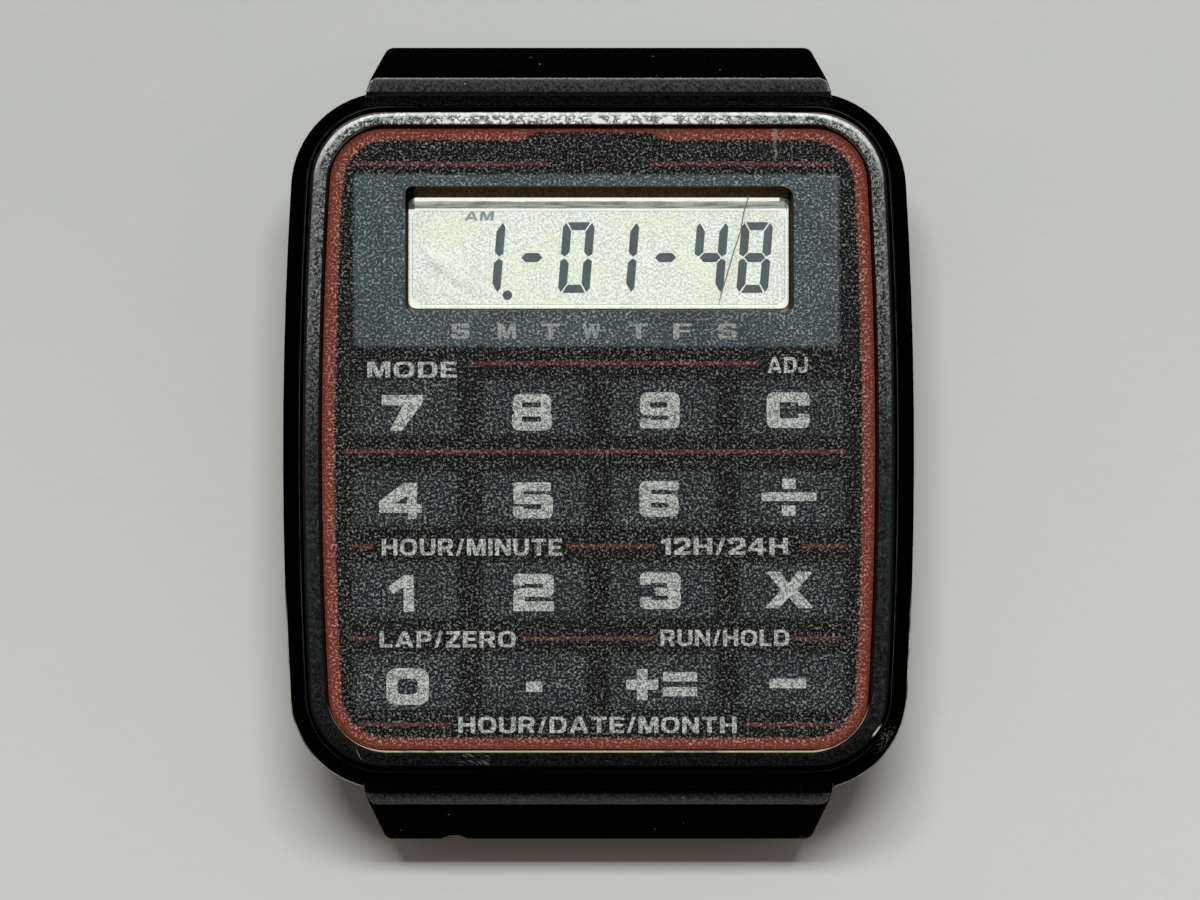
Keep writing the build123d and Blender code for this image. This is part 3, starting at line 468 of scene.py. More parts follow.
def printed_film():
    """Black film with slate key areas, a display surround, a brick border and fine rules."""
    film = Finish("printed_film", specular=0.07)
    grain = film_grain(film)
    patches = film.noise(2.5, detail=2)
    # Every printed edge is ragged by this much
    jitter = (grain - 0.4) * 0.1 + (film.noise(0.4, shift=3) - 0.5) * 0.3
    # Distances out from the nearest key area, the surround and the film's own outline
    key_half_width = (key_boxes["key_7"][1].x - key_boxes["key_7"][0].x) / 2
    key_half_height = (key_boxes["key_7"][1].y - key_boxes["key_7"][0].y) / 2
    key_area_corner = 0.15
    across = abs(abs(film.x) - column_pitch) - column_pitch / 2
    along = abs(abs(film.y - keypad_middle_y) - row_pitch) - row_pitch / 2
    keys = film.rounded_box(across, along, key_half_width, key_half_height, key_area_corner)
    surround = film.rounded_box(
        film.x - surround_x,
        film.y - surround_y,
        surround_half_width,
        surround_half_height,
        surround_corner,
    )
    bulged = abs(film.x) + film.y * film.y * (0.5 / side_radius)
    inside = film.rounded_box(bulged, film.y, face_half_width, face_half_height, corner_radius)
    in_keys = film.ramp(keys + jitter, 0.14, -0.18)
    in_surround = film.ramp(surround + jitter, 0.08, -0.12)
    # The border runs thinner along the top's middle
    from_middle = abs(film.x - border_thin_middle)
    thin = film.ramp(from_middle, border_thin_half_width, border_thin_half_width - 1)
    thin = thin * film.ramp(film.y, 15.5, 16.0)
    border_width = film.ramp(abs(film.x), 12.5, 14.2, border_end_width, border_side_width)
    border_width = border_width - thin * border_thinning
    in_border = film.ramp(inside + border_width + jitter * 0.45, -0.07, 0.07)
    edge = film.ramp(inside, -0.22, -0.02)
    # The grain's pale strokes are partly the film's own texture and partly painted highlights, glints off
    # its embossed surface
    black = film.blend(grain * (grain * 0.7 + 0.3), tone(4, 4, 4), tone(132, 135, 131))
    slate = film.blend(grain, tone(21, 29, 32), tone(138, 145, 143))
    panel = film.blend(grain, tone(55, 69, 72), tone(154, 165, 165))
    # The border's strokes are finer and fewer towards its outer edge
    brick = film.blend(film.ramp(inside, -0.1, -0.5), tone(108, 45, 27), tone(96, 45, 38))
    brick = film.blend(grain * film.ramp(inside, -0.1, -0.45, 0.4, 1), brick, tone(190, 146, 130))
    # The border's outer edge is painted darker, painted shade where the film curves down at its edge
    brick = film.blend(edge * 0.45, brick, tone(52, 24, 20))
    rule = film.blend(grain, tone(66, 38, 30), tone(172, 128, 108))
    colour = film.blend(in_keys, black, slate)
    colour = film.blend(in_surround, colour, panel)
    colour = film.blend(film.ramp(patches, 0.35, 0.75, 0, 0.3), colour, tone(20, 22, 22))
    in_rules = 0.0
    for y, stretches in rules:
        for x0, x1 in stretches:
            beside = abs(film.x - (x0 + x1) / 2) - (x1 - x0) / 2
            above = abs(film.y - y) - rule_half_height
            outside = film.math("MAXIMUM", beside * 0.5, above)
            in_rules = film.math("MAXIMUM", film.ramp(outside + jitter * 0.55, 0.05, -0.05), in_rules)
    colour = film.blend(in_rules, colour, rule)
    colour = film.blend(in_border, colour, brick)
    # A pale rub runs down from the border near the top's right end
    rub_x = 9.6
    rub_low = 15.15
    rub_and_highlight = film.ramp(abs(film.x - rub_x + jitter), 0.15, 0.03)
    rub_and_highlight = rub_and_highlight * film.ramp(film.y, rub_low, rub_low + 0.3) * film.ramp(grain + patches, 0.5, 0.9)
    colour = film.blend(rub_and_highlight * 0.6, colour, tone(176, 172, 158))
    film.set("Base Color", colour)
    film.set("Roughness", film.ramp(grain, 0, 1, 0.66, 0.5))
    film.bump(grain, 0.016)
    return film.material


def ink(name, base, worn):
    """Printing ink on the film, finely broken up by the film's grain."""
    printed = Finish(name, specular=0.3)
    lines = printed.ramp(abs(printed.noise(0.16, detail=1.2) - 0.5), 0.14, 0.02)
    grain = 1 - lines * printed.ramp(printed.noise(0.2, shift=4), 0.3, 0.48)
    printed.set("Base Color", printed.blend(grain, worn, base))
    printed.set("Roughness", 0.55)
    printed.bump(grain, 0.01)
    return printed.material


def case_black():
    """Deep glossy black, with a satin ledge along each lug that is painted pale at its edge, part rub and
    part painted highlight.
    """
    case = Finish("case_black")
    case.set("Specular Tint", (0, 0, 0, 1))
    slanted = abs(case.x) + (abs(case.y) - ledge_lean_from) * ledge_lean
    # The ledge's pale edge, part rub and part painted highlight, is weaker at six o'clock, away from the
    # light
    top_half = case.ramp(case.y, -1, 1)
    away = case.rounded_box(slanted, case.y, ledge_half_width, ledge_end, ledge_corner)
    above = case.ramp(case.z, ledge_low, ledge_low + 0.1)
    below = case.ramp(case.z, ledge_high, ledge_high - 0.04)
    outside = case.ramp(abs(case.y), ledge_start, ledge_start + 0.05)
    rough_edge = (case.noise(0.3, detail=2) - 0.5) * 0.08
    ledge = case.ramp(away + rough_edge, 0.02, -0.03) * above * below * outside
    # The ledge's outer edge is painted pale: part rub, part painted highlight
    rub_and_highlight = case.ramp(away + rough_edge, -0.12, -0.03) * ledge * (top_half * 0.8 + 0.2)
    near_edge = case.ramp(away, -0.7, 0.0)
    texture = case.noise(0.13, detail=2, roughness=0.65)
    cloudy = case.noise(1.2, detail=2, shift=4)
    satin = case.blend(case.ramp(texture, 0.35, 0.68), tone(18, 19, 20), tone(62, 63, 63))
    satin = case.blend(near_edge * 0.5, satin, case.blend(texture, tone(26, 28, 28), tone(92, 94, 92)))
    satin = case.blend(rub_and_highlight * case.ramp(texture, 0.3, 0.6), satin, tone(142, 144, 142))
    # The ledge is painted black where it meets the wall: painted shade in the groove at the case's foot,
    # wider at six o'clock
    foot_end = 19.42 - top_half * 0.17
    satin = case.blend(case.ramp(abs(case.y) - foot_end, 0.02, -0.02), satin, tone(13, 13, 12))
    # The window's walls are painted olive, a painted reflection of the pale display, and the lugs' tips
    # carry a little painted reflection of the same tint
    wall_half_width = window_half_width + 0.3
    wall_half_height = 3.7
    wall_corner = 0.5
    window = case.rounded_box(
        case.x, case.y - window_middle_y, wall_half_width, wall_half_height, wall_corner
    )
    in_window = case.ramp(window, 0.02, -0.02)
    # A painted reflection of the same tint on the lugs' tips
    tips = case.ramp(abs(case.y), 21.7, 22.1) * case.ramp(abs(case.x), 10.6, 11.6)
    black = case.blend(tips * case.ramp(cloudy, 0.35, 0.65), tone(46, 46, 46), tone(74, 74, 58))
    olive = case.blend(case.ramp(texture, 0.35, 0.7), tone(96, 90, 62), tone(138, 132, 98))
    # The window's side walls are painted darker, painted shade
    side_wall = case.ramp(abs(case.x), window_half_width - 0.25, window_half_width - 0.1)
    olive = case.blend(side_wall, olive, tone(50, 48, 34))
    # The window's top left corner is painted black, painted shade
    dark_corner = case.ramp(case.x, -9.95, -10.2) * case.ramp(case.y, 12.2, 12.6)
    olive = case.blend(dark_corner, olive, tone(12, 12, 10))
    colour = case.blend(in_window, case.blend(ledge, black, satin), olive)
    # Fine dust lies on the wall at twelve o'clock, and a trace of it on the lug's slope
    end_wall = case.ramp(case.y, 18.1, 18.3) * case.ramp(abs(case.x), 13.2, 12.4)
    dusty = end_wall * case.ramp(case.z, 6.22, 6.3) * case.ramp(texture, 0.4, 0.7, 0, 0.14)
    dusty = dusty + case.ramp(case.y, 20.1, 20.3) * case.ramp(texture, 0.4, 0.7, 0, 0.02)
    # The waist's edge is painted pale at the bottom corners, a painted reflection of the floor
    waist_low = 5.54
    waist_high = 5.86
    waist = case.ramp(case.z, waist_low, waist_low + 0.06)
    waist = waist * case.ramp(case.z, waist_high, waist_high - 0.1)
    waist = waist * case.ramp(abs(case.x) - case.y, 25, 28) * case.ramp(abs(case.x), 12.8, 13.1)
    waist = waist * case.ramp(cloudy, 0.3, 0.6, 0.3, 0.9)
    # Dust has caught on the corner at the lower right
    caught_x = 15.9
    caught_y = -16.6
    caught = case.rounded_box(case.x - caught_x, case.y - caught_y, 1.0, 1.3, 0.9)
    caught = case.ramp(caught, 0, -0.8) * case.ramp(case.noise(0.17, detail=1, shift=6), 0.56, 0.68)
    caught = caught * case.ramp(case.z, 6.2, 6.8, 0, 0.7)
    # This mask holds the dust and the waist's painted reflection of the floor
    wear = case.math("MAXIMUM", case.math("MAXIMUM", dusty, waist), caught)
    colour = case.blend(wear, colour, case.blend(waist, tone(150, 146, 126), tone(206, 206, 198)))
    painted = case.math("MAXIMUM", case.math("MAXIMUM", ledge, in_window), wear)
    case.set("Base Color", colour)
    case.set("Metallic", 1 - painted)
    polish = case.ramp(cloudy, 0.3, 0.7, 0.14, 0.2)
    case.set("Roughness", polish + painted * 0.34)
    case.bump(texture * ledge + cloudy * 0.1, 0.012)
    return case.material


def bezel_black():
    """The bezel: a deep black outer wall, and a satin band up to the crest with fine dark wear, painted
    with the light it catches: bright at the top and black at the bottom, with painted highlights and
    painted shade on its walls.
    """
    ring = Finish("bezel_black")
    ring.set("Specular Tint", (0, 0, 0, 1))
    crease = ring_bottom + 0.72
    sides = ring.ramp(abs(ring.x), 9.5, 13.5)
    band = ring.ramp(ring.z - sides * 0.05, crease - 0.01, crease + 0.02)
    fine = ring.noise(0.1, detail=2, roughness=0.6)
    cloudy = ring.noise(1.6, detail=3, roughness=0.6, shift=8)
    # Painted light on the band: grey down the sides, and painted shade making it blackest round the
    # bottom
    band_with_painted_light = ring.blend(ring.ramp(ring.y, 11, -2), tone(106, 112, 110), tone(44, 49, 52))
    band_with_painted_light = ring.blend(ring.ramp(ring.y, -4, -13), band_with_painted_light, tone(24, 28, 31))
    smudges = ring.ramp(ring.noise(0.45, detail=2, shift=12), 0.5, 0.66)
    smudges = smudges * ring.ramp(ring.y, 2, -4, 0, 0.4)
    band_with_painted_light = ring.blend(smudges, band_with_painted_light, tone(66, 76, 80))
    band_with_painted_light = ring.blend(ring.ramp(ring.y, -15, -16.5), band_with_painted_light, tone(9, 10, 12))
    band_with_painted_light = ring.blend(ring.ramp(fine, 0.65, 0.35, 0, 0.35), band_with_painted_light, tone(30, 33, 33))
    # A painted highlight, white along the top's middle, and along the outer edge as far as the corners
    middle_top = ring.ramp(abs(ring.x + 1), 11, 6)
    outer_edge = ring.ramp(ring.z - sides * 0.05, crease + 0.12, crease + 0.06)
    white = ring.math("MAXIMUM", outer_edge, middle_top * 0.8) * ring.ramp(ring.y, 13.7, 15.3)
    band_with_painted_light = ring.blend(white, band_with_painted_light, tone(188, 191, 184))
    # Short scribbled wear, dark and pale
    worm = abs(ring.noise(0.32, detail=1.6, shift=2) - 0.5)
    worn = ring.ramp(worm, 0.13, 0.05) * ring.ramp(ring.noise(0.6, shift=5), 0.31, 0.43)
    worn = worn * (1 - outer_edge * 0.6)
    band_with_painted_light = ring.blend(worn * 0.82, band_with_painted_light, tone(20, 22, 21))
    pale = ring.ramp(abs(ring.noise(0.26, detail=1.5, shift=9) - 0.5), 0.05, 0.01)
    band_with_painted_light = ring.blend(pale * ring.ramp(ring.y, -4, 10, 0.03, 0.4), band_with_painted_light, tone(206, 210, 206))
    # A few pale scratches cross the band at the lower left
    strokes = ring.ramp(ring.noise(0.17, detail=1, stretch=(9, 0.8, 1), turn=-29, shift=2), 0.54, 0.64)
    scratched = ring.ramp(abs(ring.x + 7.0), 1.2, 0.9) * ring.ramp(ring.y, -17.1, -17.2)
    band_with_painted_light = ring.blend(strokes * scratched * 0.8, band_with_painted_light, tone(112, 115, 113))
    # The inner wall is painted black, painted shade, and along the bottom its foot is painted as a cream
    # line, a painted highlight where the wall faces the light
    bulged = abs(ring.x) + ring.y * ring.y * (0.5 / side_radius)
    inner = ring.rounded_box(bulged, ring.y, face_half_width, face_half_height, corner_radius)
    inner_wall = ring.ramp(inner, 0.21, 0.17)
    cream = ring.ramp(inner, 0.17, 0.14) * ring.ramp(inner, 0.06, 0.09) * ring.ramp(ring.y, -14.3, -15.6)
    cream = cream * ring.ramp(cloudy, 0.35, 0.5, 0.45, 1)
    # The outer wall's lower edge is painted with a thin grey line, a painted highlight along the seam
    seam_level = ring_bottom + 0.18
    seam = ring.ramp(abs(ring.z - seam_level), 0.08, 0.03) * ring.ramp(cloudy, 0.35, 0.55, 0.3, 0.8)
    seam = seam * ring.ramp(abs(ring.x), 8, 14, 0.15, 1) * ring.ramp(ring.y, -17, -8, 0.4, 1)
    # A short bright painted glint stands on the wall at the lower right
    glint_x = ring.x - 15.1
    glint_y = ring.y + 15.9
    glint = ring.ramp(abs(glint_x * 0.8 - glint_y * 0.6), 0.1, 0.02)
    glint = glint * ring.ramp(abs(glint_x * 0.6 + glint_y * 0.8), 0.55, 0.2)
    # The seam's line and the glint are both painted highlights
    rub_and_highlight = ring.math("MAXIMUM", seam * 0.5, glint)
    highlight_tone = ring.blend(glint, tone(56, 58, 60), tone(216, 210, 188))
    colour = ring.blend(rub_and_highlight, tone(46, 46, 46), highlight_tone)
    colour = ring.blend(band, colour, band_with_painted_light)
    colour = ring.blend(inner_wall, colour, tone(9, 9, 9))
    painted = ring.math("MAXIMUM", ring.math("MAXIMUM", rub_and_highlight, inner_wall), band * 0.75)
    # The cream line is the painted highlight at the inner wall's foot
    ring.set("Base Color", ring.blend(cream, colour, tone(176, 168, 146)))
    ring.set("Metallic", 1 - ring.math("MAXIMUM", painted, cream))
    ring.set("Roughness", ring.ramp(band, 0, 1, 0.16, 0.28))
    ring.bump((fine * 0.4 + worn) * band, 0.008)
    return ring.material


def clear_crystal():
    """A clear window that lets the lamps' light through, with a faint haze of fine wear."""
    clear = Finish("clear_crystal", specular=0.25)
    clear.set("Base Color", (0.97, 0.985, 0.97, 1))
    clear.set("Transmission Weight", 1.0)
    clear.set("IOR", 1.3)
    wear = clear.noise(0.5, detail=4, roughness=0.7, stretch=(3, 0.4, 1), turn=-24)
    clear.set("Roughness", clear.ramp(wear, 0.55, 0.8, 0.01, 0.06))
    path = clear.node("ShaderNodeLightPath")
    lamp_rays = clear.math("MAXIMUM", path.outputs["Is Shadow Ray"], path.outputs["Is Diffuse Ray"])
    through = clear.node("ShaderNodeBsdfTransparent")
    mixed = clear.node("ShaderNodeMixShader")
    clear.put(mixed.inputs[0], lamp_rays)
    clear.put(mixed.inputs[1], clear.shader.outputs["BSDF"])
    clear.put(mixed.inputs[2], through.outputs["BSDF"])
    clear.put(clear.output.inputs["Surface"], mixed.outputs["Shader"])
    return clear.material


def display_field():
    """The display's pale field: cream and pale green, finely mottled."""
    field = Finish("display_field", specular=0.2)
    speckle = field.noise(0.12, detail=2, roughness=0.6)
    tinted = field.noise(0.17, detail=1, shift=6)
    clouds = field.noise(2.2, detail=2, shift=6)
    pale = field.blend(field.ramp(speckle, 0.36, 0.62), tone(188, 205, 194), tone(250, 252, 247))
    yellow = field.ramp(tinted, 0.52, 0.66, 0, 0.5) * field.ramp(clouds, 0.4, 0.6, 0.25, 1)
    pale = field.blend(yellow, pale, tone(232, 230, 178))
    pale = field.blend(field.ramp(clouds, 0.5, 0.75, 0, 0.3), pale, tone(238, 237, 208))
    field.set("Base Color", pale)
    field.set("Roughness", 0.45)
    field.bump(speckle, 0.004)
    return field.material


def window_adhesive():
    """The pale adhesive behind the crystal, with a streaky grey strip and dark ends at its top, both
    painted shade.
    """
    seal = Finish("window_adhesive")
    strip_low = 12.56
    strip_high = 12.94
    streaks = seal.noise(0.2, detail=3, roughness=0.6, stretch=(9, 0.5, 1))
    pale = seal.blend(streaks, tone(232, 236, 226), tone(255, 255, 250))
    # The grey strip is painted shade under the window's top wall
    grey = seal.blend(seal.ramp(streaks, 0.36, 0.64), tone(84, 94, 88), tone(160, 169, 161))
    wavy = seal.y + (streaks - 0.5) * 0.12
    in_strip = seal.ramp(wavy, strip_high, strip_high - 0.06)
    in_strip = in_strip * seal.ramp(wavy, strip_low, strip_low + 0.06)
    # The dark ends are painted shade in the window's top corners
    left_end = seal.ramp(seal.x, -10.02, -10.1) * seal.ramp(seal.y, 12.5, 12.58)
    right_end = seal.ramp(seal.x, 9.86, 9.94) * seal.ramp(seal.y, 12.88, 12.96)
    right_end = seal.math("MAXIMUM", right_end, seal.ramp(seal.x + seal.y * 0.5, 16.5, 16.6))
    dark_ends = seal.math("MAXIMUM", left_end, right_end)
    strip = seal.blend(in_strip, pale, grey)
    seal.set("Base Color", seal.blend(dark_ends, strip, tone(24, 25, 20)))
    seal.set("Roughness", 0.45)
    seal.bump(streaks, 0.012)
    return seal.material


def plain(name, first, second, size, roughness, metallic=0.0, stretch=(1, 1, 1), depth=0.004):
    """A finish of two close colours in a grain, with roughness and relief that follow it."""
    made = Finish(name, metallic=metallic)
    # The wear is this many times broader than the grain
    broader = 9
    grain = made.noise(size, detail=3, roughness=0.6, stretch=stretch)
    wear = made.noise(size * broader, detail=2, shift=3)
    made.set("Base Color", made.blend(made.ramp(grain * 0.7 + wear * 0.3, 0.3, 0.7), first, second))
    made.set("Roughness", made.ramp(grain, 0.3, 0.7, roughness - 0.06, roughness + 0.08))
    made.bump(grain, depth)
    return made.material


# Every finish, and the material slots of the carried nodes that it goes on
film_finish = printed_film()
white_ink = ink("white_ink", tone(184, 189, 185), tone(94, 99, 97))
grey_ink = ink("grey_ink", tone(152, 158, 155), tone(104, 111, 110))
case_finish = case_black()
ring_finish = bezel_black()
crystal_finish = clear_crystal()
field_finish = display_field()
segment_finish = plain("display_segments", tone(10, 31, 36), tone(36, 60, 63), 0.22, 0.5)
faint_finish = plain("faint_segments", tone(104, 117, 118), tone(140, 151, 148), 0.2, 0.5)
seal_finish = window_adhesive()
steel = plain("spring_steel", tone(150, 150, 150), tone(190, 190, 188), 0.12, 0.3, 1.0, (8, 0.5, 1))
brushed_back = plain(
    "brushed_back", tone(142, 143, 143), tone(182, 183, 182), 0.1, 0.32, 1.0, (30, 0.6, 1), 0.006
)
nickel = plain("drawn_nickel", tone(176, 174, 168), tone(204, 202, 198), 0.3, 0.22, 1.0)
brass = plain("sheet_brass", tone(176, 138, 70), tone(206, 170, 100), 0.2, 0.28, 1.0, (4, 0.6, 1))
copper = plain(
    "wound_copper", tone(146, 76, 44), tone(192, 110, 70), 0.08, 0.34, 1.0, (40, 40, 0.5), 0.02
)
board = plain("board_resin", tone(22, 74, 44), tone(34, 96, 58), 0.18, 0.42, 0.0, (1, 1, 1), 0.008)
black_plastic = plain("module_plastic", tone(26, 26, 27), tone(40, 40, 41), 0.25, 0.5, depth=0.01)
resin = plain("cast_resin", tone(14, 14, 15), tone(28, 28, 29), 0.6, 0.2)
rubber = plain("soft_rubber", tone(40, 40, 42), tone(62, 62, 64), 0.1, 0.75, 0.0, (0.5, 8, 8), 0.01)
gasket_rubber = plain("gasket_rubber", tone(16, 16, 17), tone(28, 28, 29), 0.3, 0.6)
fired = plain("fired_ceramic", tone(170, 158, 132), tone(198, 188, 164), 0.15, 0.55, depth=0.008)
spacer_film = plain("spacer_film", tone(196, 188, 150), tone(214, 208, 176), 0.8, 0.45)
screw_steel = plain(
    "turned_steel", tone(140, 140, 142), tone(178, 178, 178), 0.09, 0.28, 1.0, (1, 12, 1)
)
silver = plain("reflecting_film", tone(196, 204, 186), tone(214, 220, 206), 0.3, 0.35)

finishes = {
    "case_black": case_finish,
    "bezel_black": ring_finish,
    "film": film_finish,
    "key_film": film_finish,
    "crystal": crystal_finish,
    "seal": seal_finish,
    "spring_steel": steel,
    "spacer_film": spacer_film,
    "board": board,
    "polariser": field_finish,
    "display_glass": crystal_finish,
    "reflector": silver,
    "silicone": rubber,
    "module_plastic": black_plastic,
    "epoxy": resin,
    "can_metal": nickel,
    "ceramic": fired,
    "brass": brass,
    "copper": copper,
    "screw_steel": screw_steel,
    "back_steel": brushed_back,
    "gasket": gasket_rubber,
}
for part in frame["record"]["subparts"]:
    carried = nodes[part["node"]]
    carried.data.materials.clear()
    carried.data.materials.append(finishes[part["material_slot"]])

# The film: one sheet that fits each key closely, open at the window
key_gap = 0.012
key_hole_corner = 0.25
film_outlines = [
    barrel(),
    rounded([
        (-window_half_width, window_low_y, window_corner),
        (window_right, window_low_y, window_corner),
        (window_right, window_high_y, window_broad_corner),
        (-window_half_width, window_high_y, window_corner),
    ]),
]
for low, high in key_boxes.values():
    film_outlines.append(rectangle(
        low.x - key_gap, low.y - key_gap, high.x + key_gap, high.y + key_gap, key_hole_corner
    ))
film_mesh = plate("front_film", film_outlines, film_bottom, film_top)
piece("front_film", film_mesh, film_finish, replaced=["face_overlay"])

# The window's crystal, with a broad bevel at its top edge and narrow ones elsewhere
crystal_corner = 0.45
broad_bevel = 0.33
narrow_bevel = 0.08
bevel_drop = 0.15


def crystal_ring(side, bottom, top):
    """The crystal's outline, drawn in at its sides, bottom and top."""
    return rectangle(
        crystal_low.x + side,
        crystal_low.y + bottom,
        crystal_high.x - side,
        crystal_high.y - top,
        crystal_corner - side,
    )


crystal_mesh = layered([
    (crystal_ring(0, 0, 0), crystal_low.z),
    (crystal_ring(0, 0, 0), crystal_high.z - bevel_drop),
    (crystal_ring(narrow_bevel, narrow_bevel, broad_bevel), crystal_high.z),
])
piece("crystal", crystal_mesh, crystal_finish, replaced=["window_crystal"])

# The display's pale face just under the crystal, and its figures: slanted cells of seven segments
display_gap = 0.022
display_top = crystal_low.z - display_gap
segment_lift = 0.002
segment_thickness = 0.012
segment_corner = 0.05
segment_bottom = display_top + segment_lift
segment_top = segment_bottom + segment_thickness
cell_width = 1.73
cell_height = 3.87
cell_pitch = 2.438
cell_lean = 0.08
stroke = 0.47
bar_height = 0.44
bar_end = 0.25
joint = 0.05
last_cell_right = 9.56
cell_base = 7.97
dot_radius = 0.26
dot_place = (-4.98, 7.84)
middle = cell_height / 2
half_stroke = stroke / 2
view_half_width = 10.18
view_low_y = 7.34
view_high_y = 12.44
view_corner = 0.28
face_outline = rectangle(-view_half_width, view_low_y, view_half_width, view_high_y, view_corner)
face_mesh = plate("display_face", [face_outline], polariser_top, display_top)
piece("display_face", face_mesh, field_finish)


def upright(x, y, sideways, upwards):
    """An upright segment from a corner of the cell to its middle, turned by the two signs."""
    length = middle - joint
    shape = [
        (0, -0.28),
        (0.16, -0.03),
        (stroke, -bar_height - 0.07),
        (stroke, half_stroke - length + 0.02),
        (half_stroke, -length),
        (0, 0.14 - length),
    ]
    return [(x + sideways * across, y + upwards * along) for across, along in shape]


def level_end(y, upwards):
    """The segment along the cell's top or bottom."""
    shape = [
        (bar_end, 0),
        (cell_width - bar_end, 0),
        (cell_width - stroke - 0.03, -bar_height),
        (stroke + 0.03, -bar_height),
    ]
    return [(x, y + upwards * along) for x, along in shape]


segments = {
    "top": level_end(cell_height, 1),
    "bottom": level_end(0, -1),
    "upper_left": upright(0, cell_height, 1, 1),
    "upper_right": upright(cell_width, cell_height, -1, 1),
    "lower_left": upright(0, 0, 1, -1),
    "lower_right": upright(cell_width, 0, -1, -1),
    "middle": [
        (half_stroke + joint, middle),
        (stroke + joint, middle + bar_end),
        (cell_width - stroke - joint, middle + bar_end),
        (cell_width - half_stroke - joint, middle),
        (cell_width - stroke - joint, middle - bar_end),
        (stroke + joint, middle - bar_end),
    ],
}
ring_segments = ["top", "upper_left", "upper_right", "lower_left", "lower_right", "bottom"]
figure_segments = {
    "8": ring_segments + ["middle"],
    "0": ring_segments,
    "1": ["upper_right", "lower_right"],
    "4": ["upper_left", "upper_right", "middle", "lower_right"],
    "-": ["middle"],
}
for place, figure in enumerate(reversed("1-01-48")):
    left = last_cell_right - cell_width - cell_height * cell_lean - place * cell_pitch
    outlines = []
    for segment in figure_segments[figure]:
        corners = []
        for x, y in segments[segment]:
            corners.append((left + x + y * cell_lean, cell_base + y, segment_corner))
        outlines.append(rounded(corners, 3))
    mesh = plate("display_figure", outlines, segment_bottom, segment_top)
    piece(f"display_figure_{place}", mesh, segment_finish)
dot = plate("display_dot", [circle(*dot_place, dot_radius)], segment_bottom, segment_top)
piece("display_dot", dot, segment_finish)
half_day_box = (-7.34, 11.92, -5.76, 12.43)
half_day_outlines = letter_outlines("AM", half_day_box, cell_lean)
half_day = plate("half_day", half_day_outlines, segment_bottom, segment_top)
piece("display_half_day", half_day, faint_finish)

# The keys' figures, wide and heavy, in white ink: each outline is round its own centre
ink_thickness = 0.012
ink_top = film_top + ink_thickness
soft = 0.07
bend = 0.42


def bar(x, y, half_width, half_height):
    """A bar of a sign."""
    corners = ((x - half_width, y - half_height), (x + half_width, y - half_height))
    corners += ((x + half_width, y + half_height), (x - half_width, y + half_height))
    return [(*corner, soft) for corner in corners]


